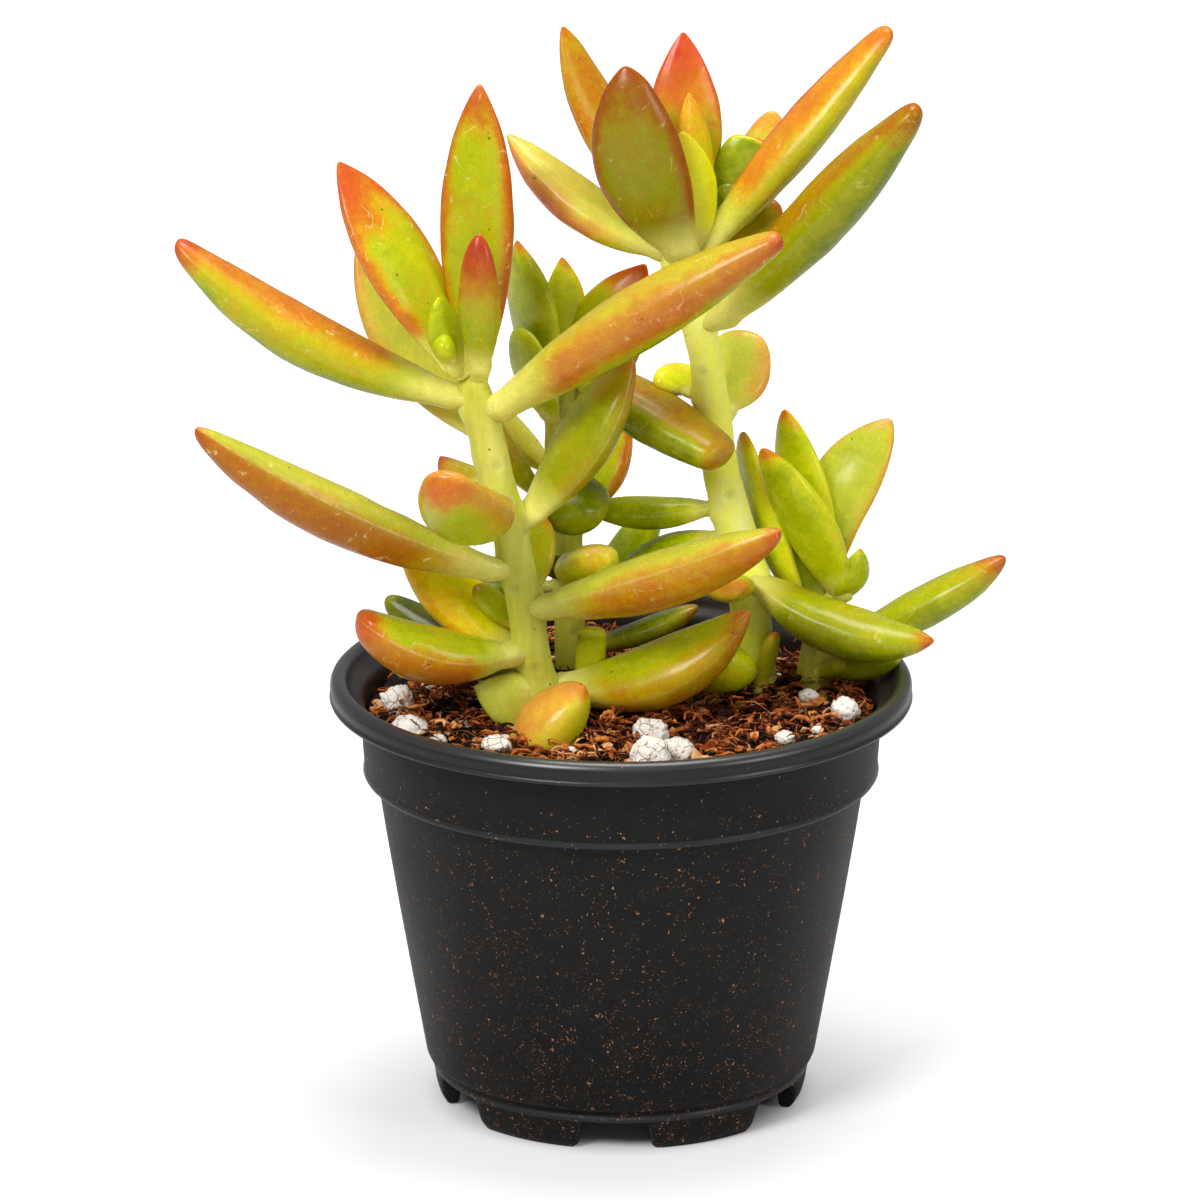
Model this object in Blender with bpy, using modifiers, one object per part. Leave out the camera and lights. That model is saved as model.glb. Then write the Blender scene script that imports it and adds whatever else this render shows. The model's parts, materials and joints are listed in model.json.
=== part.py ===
"""Potted stonecrop: a branching succulent in a small round nursery pot.

Metres, +Z up, -Y is the front. The pot stands on its feet at z = 0 with its axis on the world Z axis,
and everything is shifted at the end so that the origin is the bottom centre of the whole object.

Azimuths turn round Z from the front: 0 points at -Y, 90 at +X, 180 at +Y, -90 at -X.
"""
import math
from typing import NamedTuple

import bmesh
import bpy
from mathutils import Matrix, Vector

MM = 0.001
MERGE = 0.00001                   # metres, for turned shapes
GAP = 0.3                         # millimetres kept between pieces that touch

# ---------------------------------------------------------------- driving dimensions, in millimetres
# Pot: a turned plastic shell, from the feet up.
POT_SIDES = 48
FOOT_RADIUS_BOTTOM = 27.6
FOOT_RADIUS_TOP = 29.1
FOOT_RING_TOP = 5.5               # the foot ring meets the body at a small step
NOTCH_HEIGHT = 4.4
BODY_RADIUS_BOTTOM = 29.9
BODY_RADIUS_TOP = 37.8
BODY_TOP = 52.8
COLLAR_BOTTOM = 53.4
COLLAR_RADIUS_BOTTOM = 39.6
COLLAR_RADIUS_TOP = 40.4
RIM_BOTTOM = 64.4
RIM_TOP = 68.0
RIM_RADIUS = 45.0
RIM_INNER_RADIUS = 42.7
EDGE_ROUND = 0.5                  # small round on the rim, collar and foot edges
WALL = 1.2
FLOOR_UNDERSIDE = 5.0
FLOOR_TOP = 6.4
FLOOR_CORNER = 1.6                # slope where the inner floor meets the wall

FEET = 6
FIRST_NOTCH = -2.0                # azimuth of the notch at the front
NOTCH_WIDTH_TOP = 8.6
NOTCH_WIDTH_BOTTOM = 10.6
NOTCH_DEPTH = 14.0                # the cutter's reach through the ring
NOTCH_OVERRUN = 2.0               # and below the feet
DRAIN_HOLES = 6
DRAIN_HOLE_RADIUS = 3.0
DRAIN_CIRCLE = 18.0
CUTTER_SIDES = 16

# Potting mix: fills the pot to a few millimetres below the rim.
SOIL_LEVEL = 62.6
SOIL_RELIEF = 0.6
SOIL_CROWN = 0.8                  # the surface stands this much higher at the middle
SOIL_SIDES = 32
SOIL_RINGS = 6
PLANTING_LEVEL = 54.5             # the stems' feet, under the surface
SOCKET_HEIGHT = 18.0              # from the feet to well above the surface

# Stems and leaves.
STEM_STEP = 5.0
APEX_SHARE = 0.7                  # radius of a stem's last section, as a share of the stem
LEAF_RINGS = 10
LEAF_SIDES = 8
LEAF_END = 0.025                  # the first and last sections stand this share in from the ends
UPPER_FACE_SHARE = 0.7            # the upper face is this much flatter than the lower
LEAF_GREEN = (0.40, 0.47, 0.05)
LEAF_CORAL = (0.70, 0.17, 0.05)


class StemPoint(NamedTuple):
    x: float
    y: float
    z: float
    radius: float


class Leaf(NamedTuple):
    """One leaf. The chord runs from the leaf's neck to its tip; bow is how far the middle sags under it."""

    stem: str
    at: float                     # height of the neck on the stem
    azimuth: float
    pitch: float
    length: float
    width: float = 10.0
    thick: float = 7.0
    bow: float = 3.0
    roll: float = 0.0             # turn of the flat faces about the leaf's own length
    seat: float | None = None     # azimuth of the side of the stem it sits on, if not its own
    blush: float = 0.4            # share of the leaf that has turned coral
    peak: float = 0.5             # where the leaf is widest, from neck to tip
    blunt: float = 0.58           # power of the taper: 0.5 is round, 1 is a plain point
    neck: float = 0.45            # width at the neck, as a share of the full width


class Grain(NamedTuple):
    x: float
    y: float
    radius: float


# Grains of perlite that lie on the mix.
PERLITE = {
    "perlite_grain_front": Grain(4.5, -29.5, 3.2),
    "perlite_grain_right": Grain(34.5, -7.0, 2.3),
    "perlite_grain_left": Grain(-34.5, -2.0, 2.6),
}

# Each stem from its foot in the mix to its apex.
STEMS = {
    "left": [
        StemPoint(-12.2, -5.2, PLANTING_LEVEL, 2.8),
        StemPoint(-12.6, -5.5, 64.0, 2.8),
        StemPoint(-14.3, -6.5, 78.0, 2.8),
        StemPoint(-16.8, -7.4, 92.0, 2.7),
        StemPoint(-20.0, -8.4, 106.0, 2.7),
        StemPoint(-22.6, -9.0, 118.5, 2.6),
    ],
    "middle": [
        StemPoint(-7.6, 17.0, PLANTING_LEVEL, 2.4),
        StemPoint(-7.9, 17.0, 64.0, 2.4),
        StemPoint(-8.2, 17.0, 84.0, 2.3),
        StemPoint(-9.6, 17.0, 100.0, 2.2),
        StemPoint(-8.6, 16.5, 115.0, 2.0),
    ],
    "right": [
        StemPoint(21.2, 10.2, PLANTING_LEVEL, 3.1),
        StemPoint(21.0, 10.0, 64.0, 3.1),
        StemPoint(19.0, 9.0, 83.5, 3.1),
        StemPoint(15.6, 8.0, 97.0, 2.8),
        StemPoint(12.8, 6.0, 118.0, 2.6),
        StemPoint(9.2, 4.0, 134.0, 2.6),
        StemPoint(9.8, 3.6, 140.0, 2.0),
    ],
    "offshoot": [
        StemPoint(30.2, 13.4, PLANTING_LEVEL, 3.1),
        StemPoint(30.4, 13.4, 64.0, 3.1),
        StemPoint(31.6, 13.4, 71.0, 2.8),
        StemPoint(32.8, 13.4, 76.0, 1.8),
    ],
}


def direction(azimuth, pitch):
    """Unit vector at an azimuth from the front and a pitch above level, both in degrees."""
    a = math.radians(azimuth)
    p = math.radians(pitch)
    return Vector((math.cos(p) * math.sin(a), -math.cos(p) * math.cos(a), math.sin(p)))


def stem_at(stem, height):
    """Centre and radius of a stem at a height, on a smooth curve through its points."""
    run = STEMS[stem]
    last = len(run) - 2
    i = min(max(sum(1 for point in run[1:-1] if point.z <= height), 0), last)
    before = Vector(run[max(i - 1, 0)])
    start = Vector(run[i])
    end = Vector(run[i + 1])
    after = Vector(run[min(i + 2, len(run) - 1)])
    t = (height - start.z) / (end.z - start.z)
    blend = (
        2.0 * start
        + (end - before) * t
        + (2.0 * before - 5.0 * start + 4.0 * end - after) * t * t
        + (3.0 * start - before - 3.0 * end + after) * t * t * t
    ) * 0.5
    return Vector((blend.x, blend.y, height)), blend.w


def leaf_neck(leaf):
    """Where the chord starts: just off the stem's skin."""
    centre, radius = stem_at(leaf.stem, leaf.at)
    outward = direction(leaf.azimuth if leaf.seat is None else leaf.seat, 0.0)
    rise = math.sin(math.radians(abs(leaf.pitch)))
    half_neck = 0.5 * leaf.neck * leaf.thick
    return centre + outward * (radius + GAP + half_neck * rise)


# Name: the stem it grows on, then Leaf's own values. Lengths in millimetres, angles in degrees.
LEAVES = {
    # Left stem, from the crown down.
    "leaf_left_01": Leaf("left", 114.5, -98, 29, 48, 10.5, 8.5, bow=3.4, roll=-10, seat=-88, blush=0.5),
    "leaf_left_02": Leaf("left", 118.5, -115, 59.5, 36.5, 13.5, 6.0, bow=0.3, roll=-20, seat=-100, blush=0.6),
    "leaf_left_03": Leaf("left", 118, 168, 87, 45, 11.5, 6.0, bow=-1.0, seat=172, neck=0.35),
    "leaf_left_04": Leaf("left", 119.5, -8, 86, 23, 6.4, 4.5, bow=0.5, seat=20, neck=0.4, blush=0.6),
    "leaf_left_05": Leaf("left", 106, -119, 54, 36, 10.0, 6.5, bow=4.0, roll=-20, seat=-140, blush=0.6),
    "leaf_left_06": Leaf("left", 113, 78, 35.5, 53, 10.5, 10.5, bow=-1.0, roll=15, seat=60, blush=0.6),
    "leaf_left_07": Leaf("left", 99, -15, 24, 31, 13.5, 11.5, bow=3.0, blush=0.5, blunt=0.5),
    "leaf_left_08": Leaf("left", 88, -71, 29.5, 54, 11.5, 10.5, bow=2.0, roll=10, blush=0.6),
    "leaf_left_09": Leaf("left", 100, -140, 6, 14, 8.0, 6.0, bow=1.0, blush=0.5),
    "leaf_left_10": Leaf("left", 96, 96, 60, 29, 11.0, 8.5, bow=1.0, roll=20, blush=0.3),
    "leaf_left_11": Leaf("left", 82.5, 165, 60, 12, 6.0, 4.0, bow=0.5, blush=0.6),
    "leaf_left_12": Leaf("left", 82, 62, 23, 43.5, 12.0, 11.5, bow=1.2, roll=-10, blush=0.6),
    "leaf_left_13": Leaf("left", 68, 82, 26, 32, 12.5, 11.0, bow=2.6, roll=20, seat=100, blush=0.5),
    "leaf_left_14": Leaf("left", 67, 14, 12, 18, 12.0, 9.5, bow=0.8, seat=10, blush=0.6, blunt=0.5),
    "leaf_left_15": Leaf("left", 74, -73, 19, 26, 11.5, 11.0, bow=2.0, seat=-60, blush=0.7, blunt=0.5),
    "leaf_left_16": Leaf("left", 73, -106, 46, 25, 11.0, 7.0, bow=1.0, roll=-30, seat=-130, blush=0.6),
    "leaf_left_17": Leaf("left", 67.5, -117, 24, 27, 9.0, 6.5, bow=0.5, seat=-145, blush=0.2, blunt=0.5),
    "leaf_left_18": Leaf("left", 65.5, -60, 22, 9, 7.0, 5.0, bow=0.5, blush=0.2),
    # Middle stem, behind the other two.
    "leaf_middle_01": Leaf("middle", 110, -80, 82, 24, 12.5, 6.2, bow=-0.5, roll=15, seat=-100, blush=0.2),
    "leaf_middle_02": Leaf("middle", 105, -55, 66, 14.5, 8.0, 4.0, bow=0.5, seat=-30, blush=0.1, blunt=0.5),
    "leaf_middle_03": Leaf("middle", 112.5, 175, 84, 16, 7.0, 4.5, bow=0.5, seat=-170, blush=0.2),
    "leaf_middle_04": Leaf("middle", 104, 92, 66.5, 26, 10.5, 7.0, bow=1.0, roll=70, seat=120, blush=0.6),
    "leaf_middle_05": Leaf("middle", 113.5, 50, -17, 31, 9.5, 8.5, bow=0.6, seat=40, blush=0.5, blunt=0.45, neck=0.5),
    "leaf_middle_06": Leaf("middle", 92, -72, 60, 17, 7.0, 5.0, bow=1.0, blush=0.5),
    "leaf_middle_07": Leaf("middle", 95, -115, 50, 14, 7.0, 5.0, bow=1.0, seat=-150, blush=0.6),
    "leaf_middle_08": Leaf("middle", 96, 8, -20, 13, 10.0, 8.5, bow=0.5, blush=0.2, blunt=0.45),
    "leaf_middle_09": Leaf("middle", 88, 133, 58, 16, 8.0, 5.0, bow=1.0, blush=0.6),
    "leaf_middle_10": Leaf("middle", 75, 117, 49, 17, 9.5, 6.0, bow=1.0, blush=0.5),
    "leaf_middle_11": Leaf("middle", 80, 21, 24, 18, 7.5, 6.0, bow=0.5, blush=0.3, blunt=0.45),
    "leaf_middle_12": Leaf("middle", 77, -88, 2, 18, 6.0, 4.5, bow=0.5, blush=0.1),
    "leaf_middle_13": Leaf("middle", 67, 90, 21, 18, 6.0, 4.5, bow=0.5, blush=0.1),
    # Right stem, the tallest.
    "leaf_right_01": Leaf("right", 135.5, -112, 61.5, 36.5, 9.5, 5.5, bow=2.5, roll=-20, seat=-150, blush=0.7),
    "leaf_right_02": Leaf("right", 133.5, -70, 74, 33, 13.5, 6.5, bow=2.2, roll=65, seat=-5, neck=0.35),
    "leaf_right_03": Leaf("right", 137, -175, 81, 30.5, 11.0, 5.5, bow=-0.5, seat=170, neck=0.35, blush=0.7),
    "leaf_right_04": Leaf("right", 134, 100, 51, 44.5, 9.0, 7.5, bow=0.8, roll=20, seat=85, blush=0.5),
    "leaf_right_05": Leaf("right", 123.4, 63, 49.5, 50.5, 12.0, 11.0, bow=0.4, roll=20, blush=0.3),
    "leaf_right_06": Leaf("right", 132.5, -115, 33.5, 31, 8.5, 6.5, bow=1.7, roll=-15, blush=0.6),
    "leaf_right_07": Leaf("right", 130, 137, 52.5, 28, 9.0, 6.0, bow=1.5, roll=40, seat=150, blush=0.5),
    "leaf_right_08": Leaf("right", 141, 40, 88, 20, 5.5, 3.2, bow=0.2, seat=90, blush=0.1),
    "leaf_right_09": Leaf("right", 109, 158, 36, 12, 11.5, 6.5, bow=1.0, blush=0.5, blunt=0.45),
    "leaf_right_10": Leaf("right", 111, -122, 33, 7.5, 7.0, 4.5, bow=0.3, blush=0.5),
    "leaf_right_11": Leaf("right", 92, -101, -3, 19, 7.0, 6.0, bow=0.5, blush=0.1),
    "leaf_right_12": Leaf("right", 87, -95, -22, 16, 7.0, 5.5, bow=-1.0, seat=-110, blush=0.1),
    "leaf_right_13": Leaf("right", 66.5, -38, 30, 13, 10.0, 7.5, bow=0.5, blush=0.3, blunt=0.5),
    "leaf_right_14": Leaf("right", 81, 67, -14, 28.5, 11.0, 9.5, bow=2.2, blush=0.1),
    # Offshoot at the right-hand edge.
    "leaf_offshoot_01": Leaf("offshoot", 76, -108, 75.5, 30, 9.0, 5.5, bow=0.0, roll=60, seat=-160, neck=0.25),
    "leaf_offshoot_02": Leaf("offshoot", 76, 125, 69, 28.5, 10.0, 5.5, bow=-2.5, roll=35, seat=142, peak=0.6, neck=0.25),
    "leaf_offshoot_03": Leaf("offshoot", 76.5, -70, 65, 28.5, 8.5, 5.5, bow=0.0, roll=40, seat=5, neck=0.3),
    "leaf_offshoot_04": Leaf("offshoot", 73, -92, 73, 31, 7.5, 4.0, bow=0.0, roll=20, seat=-117, neck=0.3),
    "leaf_offshoot_05": Leaf("offshoot", 76, 50, 74, 11, 4.8, 4.0, bow=0.5, seat=65, neck=0.3, blush=0.1),
    "leaf_offshoot_06": Leaf("offshoot", 69.5, 84, 30, 28, 8.5, 7.0, bow=0.5, blush=0.2),
}


# ---------------------------------------------------------------- helpers
def add_mesh(name, bm, material, collection):
    """Turn a bmesh built in millimetres into an object in metres."""
    bmesh.ops.scale(bm, vec=(MM, MM, MM), verts=bm.verts)
    mesh = bpy.data.meshes.new(name)
    bm.to_mesh(mesh)
    bm.free()
    if material:
        mesh.materials.append(material)
    obj = bpy.data.objects.new(name, mesh)
    collection.objects.link(obj)
    return obj


def plain_material(name, colour, roughness, metallic=0.0):
    material = bpy.data.materials.new(name)
    material.use_nodes = True
    shader = material.node_tree.nodes["Principled BSDF"]
    shader.inputs["Base Color"].default_value = (*colour, 1.0)
    shader.inputs["Roughness"].default_value = roughness
    shader.inputs["Metallic"].default_value = metallic
    return material


def mixed(first, second, share):
    return tuple(a + (b - a) * share for a, b in zip(first, second))


def bridge_rings(bm, rings):
    """Quads between neighbouring rings of equal count."""
    for lower, upper in zip(rings, rings[1:]):
        for i, corner in enumerate(lower):
            after = (i + 1) % len(lower)
            bm.faces.new((corner, lower[after], upper[after], upper[i]))


def cut(target, cutter):
    """Subtract the cutter from the target and keep the cutter out of the way."""
    cutter.hide_render = True
    cutter.display_type = "WIRE"
    boolean = target.modifiers.new(f"cut_{cutter.name}", "BOOLEAN")
    boolean.operation = "DIFFERENCE"
    boolean.object = cutter


# ---------------------------------------------------------------- pot
def pot_profile():
    """Radius and height from the middle of the inner floor, over the rim and down to the underside."""
    body_inside = BODY_RADIUS_BOTTOM - WALL
    inner_lip = RIM_INNER_RADIUS
    return [
        (0.0, FLOOR_TOP),
        (body_inside - FLOOR_CORNER, FLOOR_TOP),
        (body_inside, FLOOR_TOP + FLOOR_CORNER),
        (BODY_RADIUS_TOP - WALL, BODY_TOP - WALL),
        (COLLAR_RADIUS_BOTTOM - WALL, COLLAR_BOTTOM + WALL),
        (COLLAR_RADIUS_TOP - WALL, RIM_BOTTOM),
        (inner_lip - 2.0 * EDGE_ROUND, RIM_TOP - 3.0 * EDGE_ROUND),
        (inner_lip, RIM_TOP - EDGE_ROUND),
        (inner_lip + EDGE_ROUND, RIM_TOP),
        (RIM_RADIUS - 2.0 * EDGE_ROUND, RIM_TOP),
        (RIM_RADIUS - 0.6 * EDGE_ROUND, RIM_TOP - 0.6 * EDGE_ROUND),
        (RIM_RADIUS, RIM_TOP - 2.0 * EDGE_ROUND),
        (RIM_RADIUS, RIM_BOTTOM + EDGE_ROUND),
        (RIM_RADIUS - EDGE_ROUND, RIM_BOTTOM),
        (COLLAR_RADIUS_TOP, RIM_BOTTOM),
        (COLLAR_RADIUS_BOTTOM, COLLAR_BOTTOM + EDGE_ROUND),
        (COLLAR_RADIUS_BOTTOM - EDGE_ROUND, COLLAR_BOTTOM),
        (BODY_RADIUS_TOP, BODY_TOP),
        (BODY_RADIUS_BOTTOM, FOOT_RING_TOP + EDGE_ROUND),
        (BODY_RADIUS_BOTTOM - EDGE_ROUND, FOOT_RING_TOP),
        (FOOT_RADIUS_TOP, FOOT_RING_TOP),
        (FOOT_RADIUS_BOTTOM, EDGE_ROUND),
        (FOOT_RADIUS_BOTTOM - 0.5 * EDGE_ROUND, 0.0),
        (FOOT_RADIUS_BOTTOM - WALL, 0.0),
        (FOOT_RADIUS_TOP - 2.0 * WALL, FLOOR_UNDERSIDE),
        (0.0, FLOOR_UNDERSIDE),
    ]


def turned(name, profile, sides, material, collection):
    """A profile of radius and height, turned round Z by a Screw modifier."""
    bm = bmesh.new()
    verts = [bm.verts.new((radius, 0.0, height)) for radius, height in profile]
    for start, end in zip(verts, verts[1:]):
        bm.edges.new((start, end))
    obj = add_mesh(name, bm, material, collection)
    screw = obj.modifiers.new("turn", "SCREW")
    screw.steps = sides
    screw.render_steps = sides
    screw.use_merge_vertices = True
    screw.merge_threshold = MERGE
    screw.use_smooth_shade = True
    return obj


def notch_cutter(collection):
    """Six blocks, wider below, that leave six feet standing in the foot ring."""
    bm = bmesh.new()
    for number in range(FEET):
        block = bmesh.ops.create_cube(bm, size=1.0)["verts"]
        for vert in block:
            top = vert.co.z > 0.0
            width = NOTCH_WIDTH_TOP if top else NOTCH_WIDTH_BOTTOM
            height = NOTCH_HEIGHT if top else -NOTCH_OVERRUN
            vert.co = Vector((vert.co.x * width, vert.co.y * NOTCH_DEPTH - FOOT_RADIUS_TOP, height))
        turn = Matrix.Rotation(math.radians(FIRST_NOTCH + 360.0 * number / FEET), 4, "Z")
        bmesh.ops.transform(bm, matrix=turn, verts=block)
    return add_mesh("cutter_notches", bm, None, collection)


def add_drum(bm, centre, radius, height):
    """An upright cylinder in a cutter."""
    bmesh.ops.create_cone(
        bm,
        cap_ends=True,
        segments=CUTTER_SIDES,
        radius1=radius,
        radius2=radius,
        depth=height,
        matrix=Matrix.Translation(centre),
    )


def drain_cutter(collection):
    """Round holes through the floor."""
    bm = bmesh.new()
    middle = Vector((0.0, 0.0, 0.5 * (FLOOR_UNDERSIDE + FLOOR_TOP)))
    thickness = FLOOR_TOP - FLOOR_UNDERSIDE
    for number in range(DRAIN_HOLES):
        spot = direction(FIRST_NOTCH + 360.0 * number / DRAIN_HOLES, 0.0) * DRAIN_CIRCLE
        add_drum(bm, middle + spot, DRAIN_HOLE_RADIUS, 3.0 * thickness)
    return add_mesh("cutter_drain_holes", bm, None, collection)


def build_pot(parts, cutters):
    plastic = plain_material("black_plastic", (0.012, 0.012, 0.013), 0.45)
    pot = turned("pot", pot_profile(), POT_SIDES, plastic, parts)
    cut(pot, notch_cutter(cutters))
    cut(pot, drain_cutter(cutters))
    return pot


# ---------------------------------------------------------------- potting mix
def soil_height(x, y):
    """Uneven surface: a low crown with gentle lumps."""
    radius = math.hypot(x, y) / COLLAR_RADIUS_TOP
    lumps = math.sin(0.31 * x + 0.8) * math.cos(0.27 * y - 0.5) + 0.5 * math.sin(0.53 * y + 0.41 * x)
    return SOIL_LEVEL + SOIL_CROWN * (1.0 - radius * radius) + SOIL_RELIEF * lumps


def soil_side():
    """Radius and height of the mix against the pot wall, from the floor up."""
    low = FLOOR_TOP + GAP
    clear = WALL + 2.0 * GAP
    body_bottom = BODY_RADIUS_BOTTOM - clear
    return [
        (body_bottom - FLOOR_CORNER, low),
        (body_bottom, low + FLOOR_CORNER),
        (BODY_RADIUS_TOP - clear, BODY_TOP - WALL - GAP),
        (COLLAR_RADIUS_BOTTOM - clear, COLLAR_BOTTOM + WALL + GAP),
    ]


def soil_ring(bm, radius, height=None):
    """One ring of the mix: level at a height, or lying on the uneven surface."""
    corners = []
    for side in range(SOIL_SIDES):
        turn = 2.0 * math.pi * side / SOIL_SIDES
        x = radius * math.cos(turn)
        y = radius * math.sin(turn)
        corners.append(bm.verts.new((x, y, soil_height(x, y) if height is None else height)))
    return corners


def socket_cutter(collection):
    """A round hole in the mix for the foot of each stem."""
    bm = bmesh.new()
    for run in STEMS.values():
        foot = run[0]
        middle = Vector((foot.x, foot.y, PLANTING_LEVEL - GAP + 0.5 * SOCKET_HEIGHT))
        add_drum(bm, middle, foot.radius + 2.0 * GAP, SOCKET_HEIGHT)
    return add_mesh("cutter_sockets", bm, None, collection)


def build_soil(parts, cutters):
    """A plug that fills the pot, with a socket for each stem."""
    bm = bmesh.new()
    rim = COLLAR_RADIUS_BOTTOM - WALL
    rings = [soil_ring(bm, radius, height) for radius, height in soil_side()]
    rings += [soil_ring(bm, rim * (1.0 - step / SOIL_RINGS)) for step in range(SOIL_RINGS)]
    bridge_rings(bm, rings)
    bm.faces.new(reversed(rings[0]))
    crown = bm.verts.new((0.0, 0.0, soil_height(0.0, 0.0)))
    for i, corner in enumerate(rings[-1]):
        bm.faces.new((corner, rings[-1][(i + 1) % SOIL_SIDES], crown))
    mix = plain_material("potting_mix", (0.045, 0.018, 0.008), 0.95)
    soil = add_mesh("soil", bm, mix, parts)
    cut(soil, socket_cutter(cutters))
    return soil


# ---------------------------------------------------------------- perlite
def build_grain(name, parts, cutters, soil):
    """A pale grain lying in its own hollow in the mix."""
    grain = PERLITE[name]
    level = soil_height(grain.x, grain.y) + 0.5 * grain.radius
    place = Matrix.Translation((grain.x, grain.y, level))
    chalk = plain_material(name, (0.75, 0.72, 0.66), 0.9)
    for label, radius, material, home in (
        (name, grain.radius, chalk, parts),
        (f"cutter_{name}", grain.radius + 2.0 * GAP, None, cutters),
    ):
        bm = bmesh.new()
        bmesh.ops.create_icosphere(bm, subdivisions=2, radius=radius, matrix=place)
        ball = add_mesh(label, bm, material, home)
    cut(soil, ball)


# ---------------------------------------------------------------- stems
def build_stem(stem, parts):
    """A tapering round stalk: a bevelled curve with filled caps."""
    run = STEMS[stem]
    bottom = run[0].z
    top = run[-1].z
    steps = math.ceil((top - bottom) / STEM_STEP)
    curve = bpy.data.curves.new(f"stem_{stem}", "CURVE")
    curve.dimensions = "3D"
    curve.bevel_depth = MM
    curve.bevel_resolution = 2
    curve.use_fill_caps = True
    spline = curve.splines.new("POLY")
    spline.points.add(steps)
    for step, point in enumerate(spline.points):
        centre, radius = stem_at(stem, bottom + (top - bottom) * step / steps)
        point.co = (*(centre * MM), 1.0)
        point.radius = radius * (APEX_SHARE if step == steps else 1.0)
    curve.materials.append(plain_material(f"stem_{stem}", (0.52, 0.56, 0.16), 0.5))
    stalk = bpy.data.objects.new(f"stem_{stem}", curve)
    parts.objects.link(stalk)
    return stalk


# ---------------------------------------------------------------- leaves
def leaf_fullness(leaf, t):
    """Width at t along the leaf, as a share of its full width."""
    if t < leaf.peak:
        return leaf.neck + (1.0 - leaf.neck) * math.sin(0.5 * math.pi * t / leaf.peak)
    rest = (t - leaf.peak) / (1.0 - leaf.peak)
    return math.cos(0.5 * math.pi * rest) ** leaf.blunt


def leaf_midrib(leaf, t):
    """Point on the midrib, which sags under the chord by the bow."""
    along = direction(leaf.azimuth, leaf.pitch)
    lift = direction(leaf.azimuth, leaf.pitch + 90.0)
    return leaf_neck(leaf) + along * (leaf.length * t) - lift * (leaf.bow * 4.0 * t * (1.0 - t))


def leaf_ring(bm, leaf, t):
    """One section: a round, flatter on the upper face, turned by the leaf's roll."""
    along = direction(leaf.azimuth, leaf.pitch)
    face = Matrix.Rotation(math.radians(leaf.roll), 3, along) @ direction(leaf.azimuth, leaf.pitch + 90.0)
    side = along.cross(face)
    centre = leaf_midrib(leaf, t)
    half = 0.5 * leaf_fullness(leaf, t)
    ring = []
    for corner in range(LEAF_SIDES):
        turn = 2.0 * math.pi * corner / LEAF_SIDES
        across = math.cos(turn) * leaf.width * half
        depth = math.sin(turn) * leaf.thick * half
        if depth > 0.0:
            depth *= UPPER_FACE_SHARE
        ring.append(bm.verts.new(centre + side * across + face * depth))
    return ring


def close_end(bm, ring, pole):
    """A fan of triangles from the last ring to a point."""
    for i, corner in enumerate(ring):
        bm.faces.new((corner, ring[(i + 1) % len(ring)], pole))


def build_leaf(name, leaf, parts):
    """A loft of flattened rounds along the midrib, closed by a point at each end."""
    bm = bmesh.new()
    span = 1.0 - 2.0 * LEAF_END
    rings = [leaf_ring(bm, leaf, LEAF_END + span * step / (LEAF_RINGS - 1)) for step in range(LEAF_RINGS)]
    bridge_rings(bm, rings)
    close_end(bm, rings[0], bm.verts.new(leaf_midrib(leaf, 0.0)))
    close_end(bm, rings[-1], bm.verts.new(leaf_midrib(leaf, 1.0)))
    bmesh.ops.recalc_face_normals(bm, faces=bm.faces)
    flesh = plain_material(name, mixed(LEAF_GREEN, LEAF_CORAL, leaf.blush), 0.35)
    blade = add_mesh(name, bm, flesh, parts)
    blade.data.shade_smooth()
    return blade


# ---------------------------------------------------------------- assembly
def lowest_middle(collection):
    """Bottom centre of the box round all the parts."""
    graph = bpy.context.evaluated_depsgraph_get()
    points = []
    for obj in collection.objects:
        shown = obj.evaluated_get(graph)
        points += [vert.co.copy() for vert in shown.to_mesh().vertices]
        shown.to_mesh_clear()
    low = [min(point[axis] for point in points) for axis in range(3)]
    high = [max(point[axis] for point in points) for axis in range(3)]
    return Vector((0.5 * (low[0] + high[0]), 0.5 * (low[1] + high[1]), low[2]))


def main():
    for obj in list(bpy.data.objects):
        bpy.data.objects.remove(obj)
    parts = bpy.data.collections.new("potted_stonecrop")
    cutters = bpy.data.collections.new("cutters")
    bpy.context.scene.collection.children.link(parts)
    bpy.context.scene.collection.children.link(cutters)

    build_pot(parts, cutters)
    soil = build_soil(parts, cutters)
    for name in PERLITE:
        build_grain(name, parts, cutters, soil)
    for stem in STEMS:
        build_stem(stem, parts)
    for name, leaf in LEAVES.items():
        build_leaf(name, leaf, parts)

    origin = lowest_middle(parts)
    for obj in list(parts.objects) + list(cutters.objects):
        obj.location -= origin


main()
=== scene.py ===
# %% [markdown]
# # A potted stonecrop
# The real thing is a small succulent, a golden stonecrop, in a black nursery pot of 90 mm with a loose
# mix of coir, peat and white perlite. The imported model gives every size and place: this lesson only
# gives it a finer shape and a believable finish. Everything is in metres and in the frame's own axes,
# with +Z up and the front of the plant towards -Y.
#
# The scene could start from Blender's own default cube and light, but they would be counted as part of
# the plant. So every leftover object goes first, then the frame comes in, and its box is kept for later.

# %% Load the frame
import json
import math
import random
from collections import namedtuple

import bmesh
import bpy
import numpy as np
from mathutils import Matrix, Vector, noise

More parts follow.
